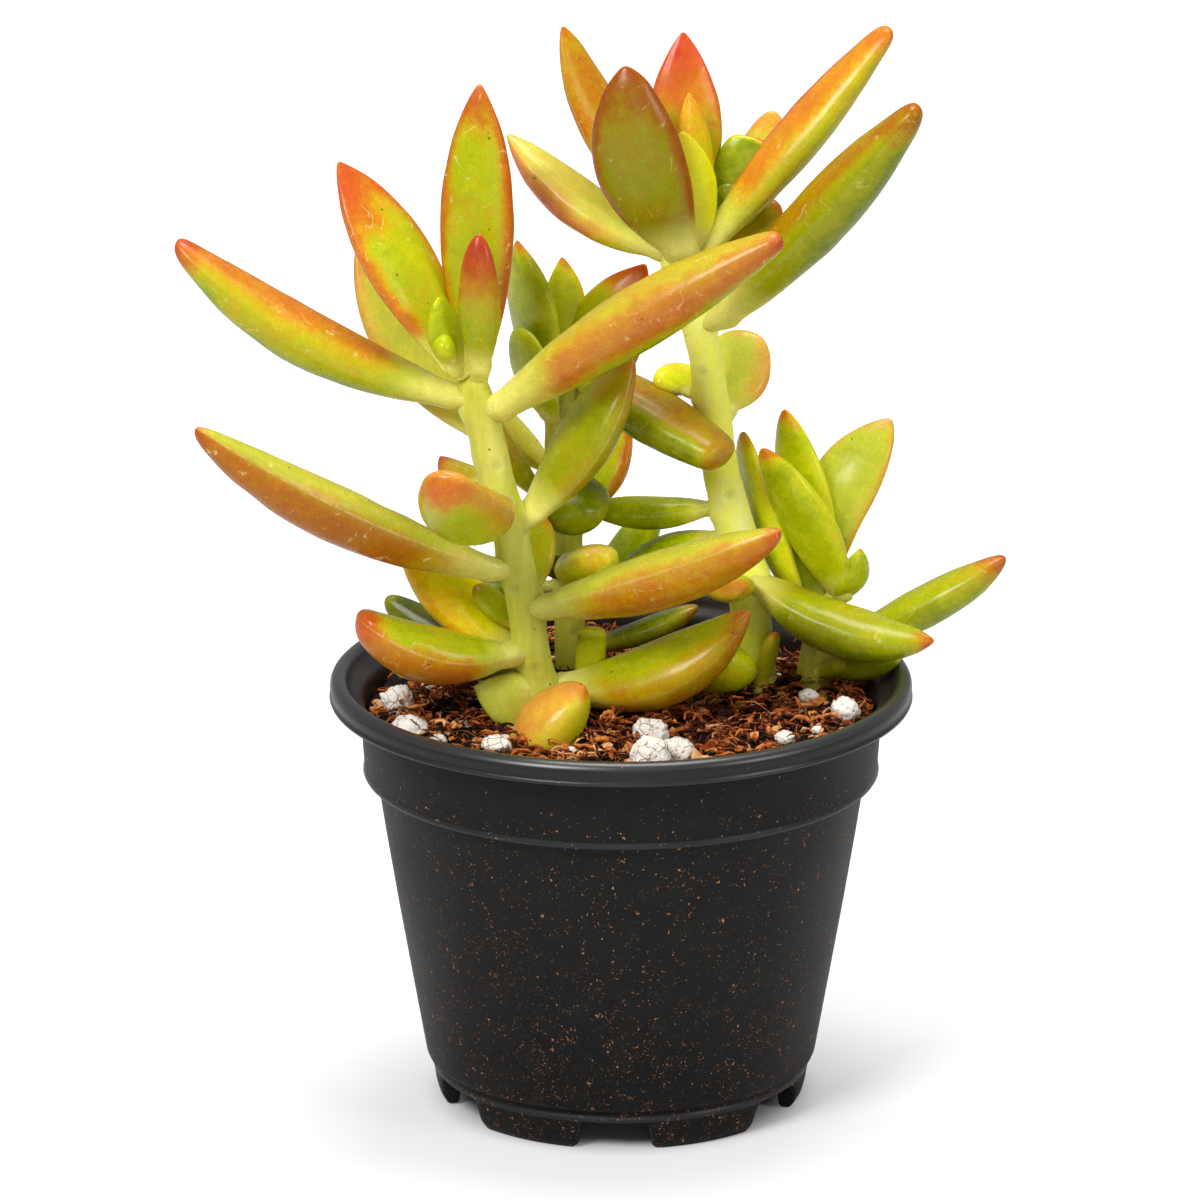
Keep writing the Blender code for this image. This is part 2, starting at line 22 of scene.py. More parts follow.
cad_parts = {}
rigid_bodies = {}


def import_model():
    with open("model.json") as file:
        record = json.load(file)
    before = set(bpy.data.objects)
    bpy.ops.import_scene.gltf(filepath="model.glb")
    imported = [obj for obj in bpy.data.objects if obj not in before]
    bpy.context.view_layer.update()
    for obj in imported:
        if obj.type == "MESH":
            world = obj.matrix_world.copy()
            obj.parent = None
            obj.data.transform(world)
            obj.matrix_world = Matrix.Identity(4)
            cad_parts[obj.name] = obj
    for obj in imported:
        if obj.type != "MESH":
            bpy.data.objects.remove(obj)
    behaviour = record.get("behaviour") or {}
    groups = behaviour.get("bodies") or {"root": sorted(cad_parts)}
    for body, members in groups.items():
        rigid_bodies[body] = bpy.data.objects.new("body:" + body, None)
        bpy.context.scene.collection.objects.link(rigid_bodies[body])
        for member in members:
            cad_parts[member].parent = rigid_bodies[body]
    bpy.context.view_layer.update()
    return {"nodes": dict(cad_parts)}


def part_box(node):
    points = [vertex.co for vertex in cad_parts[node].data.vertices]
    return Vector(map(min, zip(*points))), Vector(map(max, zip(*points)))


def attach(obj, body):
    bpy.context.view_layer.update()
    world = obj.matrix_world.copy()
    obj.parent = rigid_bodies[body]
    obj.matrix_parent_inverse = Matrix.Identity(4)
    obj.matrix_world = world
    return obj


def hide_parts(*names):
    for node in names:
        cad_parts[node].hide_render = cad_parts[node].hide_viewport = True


for leftover in list(bpy.data.objects):
    bpy.data.objects.remove(leftover)
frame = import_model()
MM = 0.001
pot_low, pot_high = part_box("pot")
POT_X = (pot_low.x + pot_high.x) / 2
POT_Y = (pot_low.y + pot_high.y) / 2
print("packed nodes:", len(frame["nodes"]), "pot axis at x =", round(POT_X / MM, 2), "mm")


# %% [markdown]
# ## The camera
# A plant portrait is taken with a long lens from some distance, so that near and far leaves keep the
# same size. The camera stands 2 m away, a little above the rim, and looks at the middle of the plant.
# It could be aimed with a constraint, but a plain rotation worked out from the line of sight is simpler
# and leaves nothing behind that has to be evaluated.

# %% Camera
CAMERA_RISE = math.radians(17.6)
CAMERA_DISTANCE = 2.0
CAMERA_TARGET = Vector((0.75, 3.78, 78.7)) * MM
SENSOR_WIDTH = 36.0
LONG_LENS = 389.0
FARTHEST_SEEN = 50.0


def aim(direction):
    """The rotation that makes a camera or a lamp look in a direction."""
    return direction.to_track_quat("-Z", "Y").to_euler()


camera_data = bpy.data.cameras.new("camera")
camera_data.sensor_width = SENSOR_WIDTH
camera_data.lens = LONG_LENS
camera_data.clip_end = FARTHEST_SEEN
camera = bpy.data.objects.new("camera", camera_data)
line_of_sight = Vector((0.0, math.cos(CAMERA_RISE), -math.sin(CAMERA_RISE)))
camera.location = CAMERA_TARGET - CAMERA_DISTANCE * line_of_sight
camera.rotation_euler = aim(line_of_sight)
bpy.context.scene.collection.objects.link(camera)
bpy.context.scene.camera = camera
print("camera at", [round(value, 3) for value in camera.location])


# %% [markdown]
# ## Floor and surround
# The set is a high-key product table: a wide white floor under a white surround, so nothing shows but
# the soft shadow at the foot of the pot. A picture of a studio could light it, but a plain white world
# does the same. It is white where the camera sees it directly and dimmer as a light, which keeps the
# shaded sides of the leaves deep.

# %% Floor and surround
FLOOR_RADIUS = 6.0
SURROUND_LIGHT = 0.28
floor_mesh = bpy.data.meshes.new("floor")
floor_build = bmesh.new()
bmesh.ops.create_circle(floor_build, cap_ends=True, segments=96, radius=FLOOR_RADIUS)
floor_build.to_mesh(floor_mesh)
floor_build.free()
floor = bpy.data.objects.new("floor", floor_mesh)
bpy.context.scene.collection.objects.link(floor)

world = bpy.data.worlds.new("white surround")
world.use_nodes = True
bpy.context.scene.world = world
surround = world.node_tree.nodes["Background"]
surround.inputs["Color"].default_value = (1.0, 1.0, 1.0, 1.0)
light_path = world.node_tree.nodes.new("ShaderNodeLightPath")
seen_or_lit = world.node_tree.nodes.new("ShaderNodeMapRange")
seen_or_lit.inputs["To Min"].default_value = SURROUND_LIGHT
seen_or_lit.inputs["To Max"].default_value = 1.0
world.node_tree.links.new(light_path.outputs["Is Camera Ray"], seen_or_lit.inputs["Value"])
world.node_tree.links.new(seen_or_lit.outputs["Result"], surround.inputs["Strength"])
print("surround lights with a strength of", SURROUND_LIGHT)


# %% [markdown]
# ## Soft boxes
# Four large soft boxes do the rest of the lighting: a key from the upper left front, a weaker one from
# the right, one above the plant and a faint low one. Small lamps or a sun would give hard shadows, which
# such a table never has.

# %% Soft boxes
SOFT_BOXES = (("key_light", (-0.45, -0.70, 0.80), 0.36, 9.0), ("side_light", (0.85, -0.55, 0.50), 0.36, 2.8),
              ("top_light", (0.05, 0.15, 1.00), 0.50, 7.5), ("low_light", (0.10, -1.05, 0.22), 0.40, 0.6))
for name, place, size, power in SOFT_BOXES:
    light = bpy.data.lights.new(name, "AREA")
    light.size = size
    light.energy = power
    lamp = bpy.data.objects.new(name, light)
    lamp.location = place
    lamp.rotation_euler = aim(CAMERA_TARGET - lamp.location)
    bpy.context.scene.collection.objects.link(lamp)
bpy.context.scene.view_settings.view_transform = "Standard"
bpy.context.scene.view_settings.look = "None"
print("lights:", [name for name, place, size, power in SOFT_BOXES])


# %% [markdown]
# ## A few words for building materials
# Every finish here is made of nodes, so it has no pictures and looks right at any size. Typing each node
# out would bury the idea, so small helpers add a node, a sum, a blend of two colours or a ladder of
# colours. Colours are named as a paint chart names them, from 0 to 255, and turned into the linear values
# that the renderer works with.

# %% Helpers for nodes
WHITE = (1.0, 1.0, 1.0, 1.0)
BLACK = (0.0, 0.0, 0.0, 1.0)


def paint(red, green, blue):
    """A colour from its everyday 0-255 values, as the linear colour that nodes use."""
    linear = [((part / 255 + 0.055) / 1.055) ** 2.4 if part > 10 else part / 255 / 12.92
              for part in (red, green, blue)]
    return (*linear, 1.0)


def feed(tree, socket, value):
    """Link a socket to another one, or set its plain value."""
    if isinstance(value, bpy.types.NodeSocket):
        tree.links.new(value, socket)
    else:
        socket.default_value = value


def add(tree, kind, inputs=(), **settings):
    """Add one node, with its settings by name and its inputs as (name, value) pairs."""
    node = tree.nodes.new("ShaderNode" + kind)
    for name, value in settings.items():
        setattr(node, name, value)
    for name, value in dict(inputs).items():
        feed(tree, node.inputs[name], value)
    return node


def sum_of(tree, operation, *values):
    """One Math node, and the socket with its answer."""
    node = add(tree, "Math", operation=operation)
    for socket, value in zip(node.inputs, values):
        feed(tree, socket, value)
    return node.outputs[0]


def times(tree, first, second, plus=None):
    """First times second, with a third value added when one is given."""
    if plus is None:
        return sum_of(tree, "MULTIPLY", first, second)
    return sum_of(tree, "MULTIPLY_ADD", first, second, plus)


def blend(tree, amount, first, second, mode="MIX"):
    """A colour that goes from the first to the second as the amount goes from 0 to 1."""
    node = add(tree, "Mix", data_type="RGBA", blend_type=mode)
    feed(tree, node.inputs[0], amount)
    feed(tree, node.inputs[6], first)
    feed(tree, node.inputs[7], second)
    return node.outputs[2]


def ladder(tree, value, *steps):
    """A colour ramp through (position, colour) steps."""
    node = add(tree, "ValToRGB", [("Fac", value)])
    rungs = node.color_ramp.elements
    while len(rungs) < len(steps):
        rungs.new(1.0)
    for rung, (position, colour) in zip(rungs, steps):
        rung.position = position
        rung.color = colour
    return node.outputs["Color"]


def fade(tree, value, start, end, low=0.0, high=1.0):
    """A smooth step: low before start, high after end."""
    inputs = [("Value", value), ("From Min", start), ("From Max", end), ("To Min", low), ("To Max", high)]
    return add(tree, "MapRange", inputs, interpolation_type="SMOOTHSTEP").outputs["Result"]


def clouds(tree, where, scale, detail=3.0, rough=0.5):
    """The value of a noise texture, 0 to 1."""
    inputs = [("Vector", where), ("Scale", scale), ("Detail", detail), ("Roughness", rough)]
    return add(tree, "TexNoise", inputs).outputs["Fac"]


def noted(tree, label):
    """A number that the mesh keeps on its points under this label."""
    return add(tree, "Attribute", attribute_name=label).outputs["Fac"]


print("node helpers ready, a paint of 128 is", round(paint(128, 128, 128)[0], 3), "in linear light")


# %% [markdown]
# Two more helpers build whole things: a node group, for an effect that several finishes share, and a
# material. Every finish here ends the same way: a colour, a roughness and a height go to the shader, and
# values that are the same all over the surface stay on its own sockets, where every other program can
# read them. One function does that last step for all of them.

# %% Helpers for groups and materials
def new_group(name, inputs, outputs):
    """A shader node group with named inputs and outputs, and its two rows of end sockets."""
    group = bpy.data.node_groups.new(name, "ShaderNodeTree")
    for label, kind, value in inputs:
        socket = group.interface.new_socket(label, in_out="INPUT", socket_type="NodeSocket" + kind)
        if value is not None:
            socket.default_value = value
    for label in outputs:
        group.interface.new_socket(label, in_out="OUTPUT", socket_type="NodeSocketFloat")
    return group, group.nodes.new("NodeGroupInput").outputs, group.nodes.new("NodeGroupOutput").inputs


def place_group(tree, group, **values):
    """Put a group in a material, with its inputs by name."""
    node = tree.nodes.new("ShaderNodeGroup")
    node.node_tree = group
    for name, value in values.items():
        feed(tree, node.inputs[name], value)
    return node.outputs


def new_material(name):
    """An empty material with a Principled shader, its tree and the position over the object."""
    material = bpy.data.materials.new(name)
    material.use_nodes = True
    tree = material.node_tree
    where = add(tree, "TexCoord").outputs["Object"]
    return material, tree, tree.nodes["Principled BSDF"], where


def set_plain(shader, **values):
    """Values that are the same all over a surface, by socket name (an underscore stands for a space)."""
    for name, value in values.items():
        shader.inputs[name.replace("_", " ")].default_value = value


def surface(tree, shader, colour, rough, height, strength, depth, **plain):
    """Feed a finish to its shader: colour, roughness, bumps of a given depth, and its plain values."""
    bump = add(tree, "Bump", [("Height", height), ("Strength", strength), ("Distance", depth)])
    feed(tree, shader.inputs["Base Color"], colour)
    feed(tree, shader.inputs["Roughness"], rough)
    feed(tree, shader.inputs["Normal"], bump.outputs["Normal"])
    set_plain(shader, **plain)


print("helpers for groups and materials ready")


# %% [markdown]
# The floor takes the first finish: a matt, pale board with hardly visible unevenness, so that it isn't
# one flat value. A plain colour would do in the light of the soft boxes, but they only reach so far. So
# the board has a painted glow that only the camera sees: none under the pot, a little around its foot and
# full further out, where the floor then stays white to the horizon. That fade towards the pot paints the
# soft shadow at its foot.

# %% White floor board
PAINTED_SHADOW_UNDER_POT = (0.023, 0.032)
PAINTED_SHADOW_REACH = (0.03, 0.40)
PAINTED_GLOW_AT_FOOT = 0.52
white_board, tree, shader, where = new_material("white_board")
feed(tree, shader.inputs["Base Color"], ladder(tree, clouds(tree, where, 6.0),
                                               (0.0, paint(200, 200, 200)), (1.0, paint(205, 205, 205))))
from_pot = add(tree, "VectorMath", [(0, where), (1, (POT_X, POT_Y, 0.0))], operation="SUBTRACT").outputs[0]
away = add(tree, "VectorMath", [(0, from_pot)], operation="LENGTH").outputs["Value"]
# Painted shadow: the camera-only glow fades to a little at the pot's foot and to none under it.
painted_glow = times(tree, fade(tree, away, *PAINTED_SHADOW_REACH, PAINTED_GLOW_AT_FOOT), fade(tree, away, *PAINTED_SHADOW_UNDER_POT))
painted_glow = times(tree, painted_glow, add(tree, "LightPath").outputs["Is Camera Ray"])
feed(tree, shader.inputs["Emission Color"], blend(tree, painted_glow, BLACK, WHITE))
set_plain(shader, Emission_Strength=0.75, Roughness=0.9, Specular_IOR_Level=0.1)
floor.data.materials.append(white_board)
print("floor finish:", white_board.name)


# %% [markdown]
# ## Reading the stems of the frame
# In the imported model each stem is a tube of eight-sided rings, and each leaf a spindle of such rings
# between two end points. The finer shapes have to sit exactly there. They could be drawn again from a
# list of sizes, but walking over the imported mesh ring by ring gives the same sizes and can't drift away.

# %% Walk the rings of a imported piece
PACKED_SIDES = 8
SAME_PLACE = 1e-6


def merged_mesh(node):
    """The node's mesh with its split corners joined again."""
    mesh = bmesh.new()
    mesh.from_mesh(frame["nodes"][node].data)
    bmesh.ops.remove_doubles(mesh, verts=mesh.verts, dist=SAME_PLACE)
    return mesh


def walk_rings(first_ring):
    """All rings of a tube or spindle, one after another, from its first ring of corners."""
    seen = set(first_ring)
    rings = [list(first_ring)]
    while True:
        following = {edge.other_vert(corner) for corner in rings[-1] for edge in corner.link_edges} - seen
        if not following:
            return [np.array([corner.co for corner in ring]) for ring in rings]
        seen |= following
        rings.append(list(following))


def unit(vector):
    return vector / np.linalg.norm(vector)


def stem_line(node):
    """Centres and radii along a packed stem, from its foot to its top."""
    mesh = merged_mesh(node)
    foot = sorted(mesh.verts, key=lambda corner: corner.co.z)[:PACKED_SIDES]
    rings = walk_rings(foot)
    mesh.free()
    centres = np.array([ring.mean(axis=0) for ring in rings])
    radii = np.array([np.linalg.norm(ring - ring.mean(axis=0), axis=1).mean() for ring in rings])
    return centres, radii


STEMS = {name: stem_line("stem_" + name) for name in ("left", "middle", "right", "offshoot")}
for name, (centres, radii) in STEMS.items():
    print("stem", name, len(centres), "rings, top at", round(centres[-1][2] / MM, 1), "mm")


# %% [markdown]
# ## Reading the leaves
# For a leaf, the line from its base to its tip gives its length. The widest direction of its middle ring
# is the way across, from one margin to the other, and the flatter side tells which face is the upper one.
# Every ring then gives a middle point, a half-width and the depth of each face. A box around the leaf
# would be quicker to read, but it says nothing of a leaf that leans.

# %% Find how a packed leaf lies
LeafShape = namedtuple("LeafShape", "base along across face length stations centres half_width upper under")


def distance_to_stem(point, stem):
    centres, _ = STEMS[stem]
    return np.linalg.norm(centres - point, axis=1).min()


def leaf_ends(mesh, stem):
    """The two end points of a spindle, the one on the stem first."""
    ends = [corner for corner in mesh.verts if len(corner.link_edges) == PACKED_SIDES]
    pairs = [(a, b) for a in ends for b in ends if a.index < b.index]
    pair = max(pairs, key=lambda two: (two[0].co - two[1].co).length)
    return sorted(pair, key=lambda end: distance_to_stem(np.array(end.co), stem))


def leaf_directions(middle_ring, along):
    """The way across a leaf, towards the viewer or the left, and the way that its upper face looks."""
    ring = middle_ring - middle_ring.mean(axis=0)
    ring = ring - np.outer(ring @ along, along)
    across = unit(np.linalg.svd(ring)[2][0])
    face = unit(np.cross(across, along))
    depths = ring @ face
    margins = ring[[np.argmin(ring @ across), np.argmax(ring @ across)]] @ face
    if depths.max() - margins.mean() > margins.mean() - depths.min():
        face = -face
    telling_axis = 1 if abs(across[1]) > 0.5 else 0
    if across[telling_axis] > 0:
        across = -across
    return across, face


print("a leaf shape keeps", ", ".join(LeafShape._fields))


# %% [markdown]
# With its directions known, a leaf is measured at every ring: the middle between its two margins, half
# the distance between them, and how far each face stands out from there.

# %% Measure every packed leaf
def measure_leaf(node):
    """The spindle of a packed leaf, from its base on the stem to its tip."""
    mesh = merged_mesh(node)
    base, tip = leaf_ends(mesh, node.split("_")[1])
    rings = walk_rings([base])
    start, end = np.array(base.co), np.array(tip.co)
    mesh.free()
    along = unit(end - start)
    length = np.linalg.norm(end - start)
    across, face = leaf_directions(rings[len(rings) // 2], along)
    stations, centres, sizes = [], [], []
    for ring in rings[1:-1]:
        sideways = ring @ across
        centre = (ring[np.argmin(sideways)] + ring[np.argmax(sideways)]) / 2
        depth = (ring - centre) @ face
        stations.append((centre - start) @ along / length)
        centres.append(centre)
        sizes.append(((sideways.max() - sideways.min()) / 2, depth.max(), -depth.min()))
    half_width, upper, under = np.array(sizes).T
    return LeafShape(start, along, across, face, length, np.array(stations), np.array(centres),
                     half_width, upper, under)


leaf_names = sorted(name for name in frame["nodes"] if name.startswith("leaf_"))
LEAVES = {name: measure_leaf(name) for name in leaf_names}
longest = max(LEAVES, key=lambda name: LEAVES[name].length)
print(len(LEAVES), "leaves, the longest is", longest, round(LEAVES[longest].length / MM, 1), "mm")


# %% [markdown]
# ## Making a piece from rings
# Leaves, stems and the pot are all skins over a row of rings. Curves with a bevel would be quicker for
# the stems, but one small function that joins rings to a closed mesh serves every piece, keeps numbers
# such as "how far along" on its points for the finish, and leaves no open edges.

# %% Join rings into a closed mesh
def add_piece(name, points, faces, finish, notes=None, stands_for=(), smooth=True):
    """A mesh object that rides on the plant, with named numbers kept on its points."""
    mesh = bpy.data.meshes.new(name)
    mesh.from_pydata([tuple(point) for point in points], [], faces)
    for label, values in (notes or {}).items():
        numbers = np.asarray(values, np.float32)
        mesh.attributes.new(label, "FLOAT", "POINT").data.foreach_set("value", numbers)
    mesh.polygons.foreach_set("use_smooth", [smooth] * len(mesh.polygons))
    mesh.materials.append(finish)
    piece = bpy.data.objects.new(name, mesh)
    bpy.context.scene.collection.objects.link(piece)
    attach(piece, "root")
    if stands_for:
        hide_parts(*stands_for)
    return piece


def wall_faces(steps, around):
    """Faces over rings of points, each ring joined to the next one."""
    faces = []
    for first in range(0, (steps - 1) * around, around):
        second = first + around
        for spoke in range(around):
            following = (spoke + 1) % around
            faces.append((first + spoke, first + following, second + following, second + spoke))
    return faces


def skin_over(steps, around):
    """A wall closed by one point before its first ring and one point after its last."""
    start, end = steps * around, steps * around + 1
    last = (steps - 1) * around
    faces = wall_faces(steps, around)
    for spoke in range(around):
        following = (spoke + 1) % around
        faces.append((start, following, spoke))
        faces.append((end, last + spoke, last + following))
    return faces


print("a skin over 3 rings of 4 points has", len(skin_over(3, 4)), "faces")


# %% [markdown]
# Two tools give such rings life. One draws a smooth curve through measured values: a subdivision surface
# would smooth them too, but it shrinks away from them. The other one is a soft noise, which keeps long
# surfaces from being perfectly even.

# %% Smooth curves and soft unevenness
def smooth_through(knots, values, at):
    """Values on a smooth curve through measured ones (a cubic Hermite spline)."""
    slopes = np.gradient(values, knots, axis=0)
    left = np.clip(np.searchsorted(knots, at) - 1, 0, len(knots) - 2)
    width = knots[left + 1] - knots[left]
    u = (at - knots[left]) / width
    if values.ndim > 1:
        u, width = u[:, None], width[:, None]
    return ((1 + 2 * u) * (1 - u) ** 2 * values[left] + u * (1 - u) ** 2 * width * slopes[left]
            + u * u * (3 - 2 * u) * values[left + 1] + u * u * (u - 1) * width * slopes[left + 1])


def wobble(points, grain):
    """Soft unevenness between -1 and 1 at each point, with lumps of the given size."""
    return np.array([noise.noise(Vector(point) / grain) for point in points])


def bell(value, middle, width):
    """A soft bump: 1 in the middle, near 0 beyond twice the width."""
    return np.exp(-((value - middle) / width) ** 2)


halfway = smooth_through(np.arange(3.0), np.array((0.0, 1.0, 4.0)), np.array([1.5]))
print("halfway between 1 and 4, after 0, the curve is at", halfway[0])


# %% [markdown]
# ## The fleshy leaves
# A stonecrop leaf is a fat spindle: flatter above, rounded below, with a crease where the two faces meet
# and a small blunt tip. Sculpting fifty leaves by hand would take days, and a subdivided box stays lumpy.
# Here each ring of a leaf gets the real cross section, more or less creased, and the tip its own bluntness.

# %% Section and tip of a leaf
LEAF_AROUND = 48
LIP_RISE = 0.24 * MM
LIP_SET_IN = 0.90
LIP_WIDTH = 0.07
HOLLOW_WIDTH = 0.6
MARGIN_CROWD = 0.28
TIP_LENGTH = 2.2 * MM
POINT_LENGTH = 7.0 * MM
POINT_ROUND = 1.6 * MM


def leaf_section(crease):
    """Across and face shares of points around a ring, how far each face stands out, and the lip."""
    even = np.linspace(0, 2 * math.pi, LEAF_AROUND, endpoint=False)
    angles = even - MARGIN_CROWD * np.sin(2 * even)
    sideways, upward = np.cos(angles), np.sin(angles)
    share = np.abs(sideways)
    top = np.maximum(1 - share ** (2 + 0.9 * crease), 0) ** (0.5 + 0.20 * crease)
    bottom = np.maximum(1 - share ** (2 + 0.2 * crease), 0) ** (0.5 + 0.08 * crease)
    lip = crease * LIP_RISE * bell(share, LIP_SET_IN, LIP_WIDTH) * (upward > 0)
    hollow = crease * LIP_RISE * bell(share, 0, HOLLOW_WIDTH) * (upward > 0)
    return sideways, upward, top, bottom, lip - hollow


def tip_factor(apart, roundness):
    """How much fuller (above 0) or more pointed (below 0) a leaf is, this far from its tip."""
    if roundness > 0:
        return 1 + roundness * np.exp(-apart / TIP_LENGTH)
    length = max(-roundness * POINT_LENGTH, 1e-6)
    return np.sqrt((apart + POINT_ROUND) / (apart + POINT_ROUND + length * np.exp(-apart / (2 * length))))


print("a crease moves the middle of a leaf down by", LIP_RISE / MM, "mm")


# %% [markdown]
# The rings of a whole leaf stand closer together towards its tip, where it curves most. Its foot goes on
# into the middle of the stem, so that leaf and stem meet without a step. They could be joined with a
# boolean, but separate closed pieces stay clean and can be broken off, as the real ones can.

# %% Build a leaf
LEAF_STEPS = 56
ROOT_STEPS = 7
ROOT_START = 0.9
FULL_LIP_WIDTH = 3 * MM
FULL_UNEVEN_WIDTH = 2 * MM
SKIN_UNEVEN = 0.16 * MM
SKIN_LUMPS = 5 * MM


def leaf_rings(shape, round_tip, root):
    """Middles and sizes of a fine leaf's rings, and how far along the leaf each one is."""
    stations = np.sin(np.linspace(0, math.pi / 2, LEAF_STEPS - ROOT_STEPS + 1))[:-1]
    tip = shape.base + shape.along * shape.length
    knots = np.concatenate(([0.0], shape.stations, [1.0]))
    centres = smooth_through(knots, np.vstack((shape.base, shape.centres, tip)), stations)
    squares = np.column_stack((shape.half_width, shape.upper, shape.under)) ** 2
    squares = np.vstack((squares[0], squares, np.zeros(3)))
    sizes = np.sqrt(np.maximum(smooth_through(knots, squares, stations), 0))
    sizes *= tip_factor((1 - stations) * shape.length, round_tip)[:, None]
    inward = np.linspace(ROOT_START, ROOT_START / ROOT_STEPS, ROOT_STEPS)[:, None]
    centres = np.vstack((shape.base + (root - shape.base) * inward, centres))
    sizes = np.vstack((sizes[0] * (1.04 - 0.45 * inward), sizes))
    return centres, sizes, np.concatenate((np.zeros(ROOT_STEPS), stations))


def leaf_points(shape, crease, round_tip, root):
    """Points of a fine leaf over a measured spindle, with their place along, across and over it."""
    centres, sizes, stations = leaf_rings(shape, round_tip, root)
    sideways, upward, top, bottom, lip = leaf_section(crease)
    points = []
    for centre, (width, upper, under) in zip(centres, sizes):
        depth = np.where(upward > 0, top * upper, -bottom * under) + lip * min(1.0, width / FULL_LIP_WIDTH)
        points.append(centre + (width * sideways)[:, None] * shape.across + depth[:, None] * shape.face)
    points = np.vstack(points)
    outward = points - np.repeat(centres, LEAF_AROUND, axis=0)
    outward /= np.maximum(np.linalg.norm(outward, axis=1), 1e-9)[:, None]
    settle = np.repeat(np.minimum(1.0, sizes[:, 0] / FULL_UNEVEN_WIDTH), LEAF_AROUND)
    points += outward * (SKIN_UNEVEN * settle * wobble(points, SKIN_LUMPS))[:, None]
    ends = np.zeros(2)
    notes = {"along": np.concatenate((np.repeat(stations, LEAF_AROUND), (0.0, 1.0))),
             "across": np.concatenate((np.tile(sideways, LEAF_STEPS), ends)),
             "face": np.concatenate((np.tile(upward, LEAF_STEPS), ends))}
    tip = shape.base + shape.along * shape.length
    return np.vstack((points, centres[0], tip)), notes


def build_leaf(name, shape, finish, look, root, stands_for=()):
    points, notes = leaf_points(shape, look.crease, look.round, root)
    faces = skin_over(LEAF_STEPS, LEAF_AROUND)
    return add_piece(name, points, faces, finish, notes, stands_for)


print("a fine leaf has", LEAF_STEPS * LEAF_AROUND + 2, "points")


# %% [markdown]
# Packed leaves are straight, and real ones sag, swell and lean. So a leaf's shape can be nudged before it
# is built. Young leaves and stubs have no packed spindle at all: they are drawn from a foot, a tip, a
# width and a thickness. Bending both kinds with a lattice or a curve would work as well, but moving the
# measured middles is exact and quick.

# %% Nudge a leaf, or draw a small one
SMALL_STATIONS = np.linspace(0.025, 0.975, 10)
UPPER_SHARE = 0.35
UNDER_SHARE = 0.5
Nudge = namedtuple("Nudge", "root tip belly wide thick", defaults=((0, 0), (0, 0), (0, 0), 1.0, 1.0))


def nudged(shape, nudge):
    """A leaf with its root, tip or belly eased sideways and up, and made wider or thicker."""
    root, tip, belly = (np.array((pair[0], 0.0, pair[1])) * MM for pair in nudge[:3])
    share = shape.stations[:, None]
    start = shape.base + root
    end = shape.base + shape.along * shape.length + tip
    along = unit(end - start)
    across = unit(shape.across - along * (shape.across @ along))
    face = unit(shape.face - along * (shape.face @ along) - across * (shape.face @ across))
    middles = shape.centres + root * (1 - share) + tip * share + belly * 4 * share * (1 - share)
    return LeafShape(start, along, across, face, np.linalg.norm(end - start), shape.stations, middles,
                     shape.half_width * nudge.wide, shape.upper * nudge.thick, shape.under * nudge.thick)


def stem_middle_near(point, stem):
    """The place on a stem's middle line that is nearest to a point."""
    centres, _ = STEMS[stem]
    fine = np.linspace(0, len(centres) - 1, 300)
    line = smooth_through(np.arange(len(centres), dtype=float), centres, fine)
    return line[np.argmin(np.linalg.norm(line - point, axis=1))]


def beside_axis(x, y, z):
    """A place from millimetres beside the axis of the pot and above the table."""
    return np.array((POT_X + x * MM, POT_Y + y * MM, z * MM))


def small_leaf(foot, tip, width, thick, face, fullest=0.5, blunt=0.58, neck=0.5, bow=0.0):
    """A spindle from its foot to its tip, with its flat side turned to the given direction."""
    start, end = beside_axis(*foot), beside_axis(*tip)
    along = unit(end - start)
    across = unit(np.cross(along, np.array(face, float)))
    upward = np.cross(across, along)
    length = np.linalg.norm(end - start)
    stations = SMALL_STATIONS
    before = neck + (1 - neck) * np.sin(math.pi / 2 * np.minimum(stations / fullest, 1))
    after = np.cos(math.pi / 2 * np.maximum((stations - fullest) / (1 - fullest), 0)) ** blunt
    full = np.where(stations < fullest, before, after)
    middle = start + np.outer(stations * length, along)
    middle -= np.outer(4 * stations * (1 - stations) * bow * MM, upward)
    return LeafShape(start, along, across, upward, length, stations, middle, full * width * MM / 2,
                     full * thick * MM * UPPER_SHARE, full * thick * MM * UNDER_SHARE)


print("a small leaf is drawn from", len(SMALL_STATIONS), "rings")


# %% [markdown]
# ## The colour of a leaf
# A golden stonecrop is yellow-green where it is shaded and turns gold, orange and coral red where the
# sun reaches it: at the tip, along the margins and on one of its faces. A painted picture could show
# this, but it would have to be stretched over every leaf. Instead one group works out a *blush* between
# 0 and 1 from the place along and across the leaf. Each leaf then sets how strongly its two faces, its
# two margins and its tip have turned. A cloudy noise makes all the borders wander.

# %% The leaf blush group
BARE_BLUSH = 0.36
PAST_MARGIN = 1.05
PAST_TIP = 1.02
BLUSH_INPUTS = (("Along", 0.0), ("Across", 0.0), ("Face", 0.0), ("Cloud", 0.5), ("Flecks", 0.5),
                ("Upper", 0.3), ("Under", 0.3), ("Near", 0.5), ("Far", 0.5), ("Rim", 0.6), ("Soft", 0.4),
                ("Tip", 0.9), ("Reach", 0.2), ("Bare", 0.3))


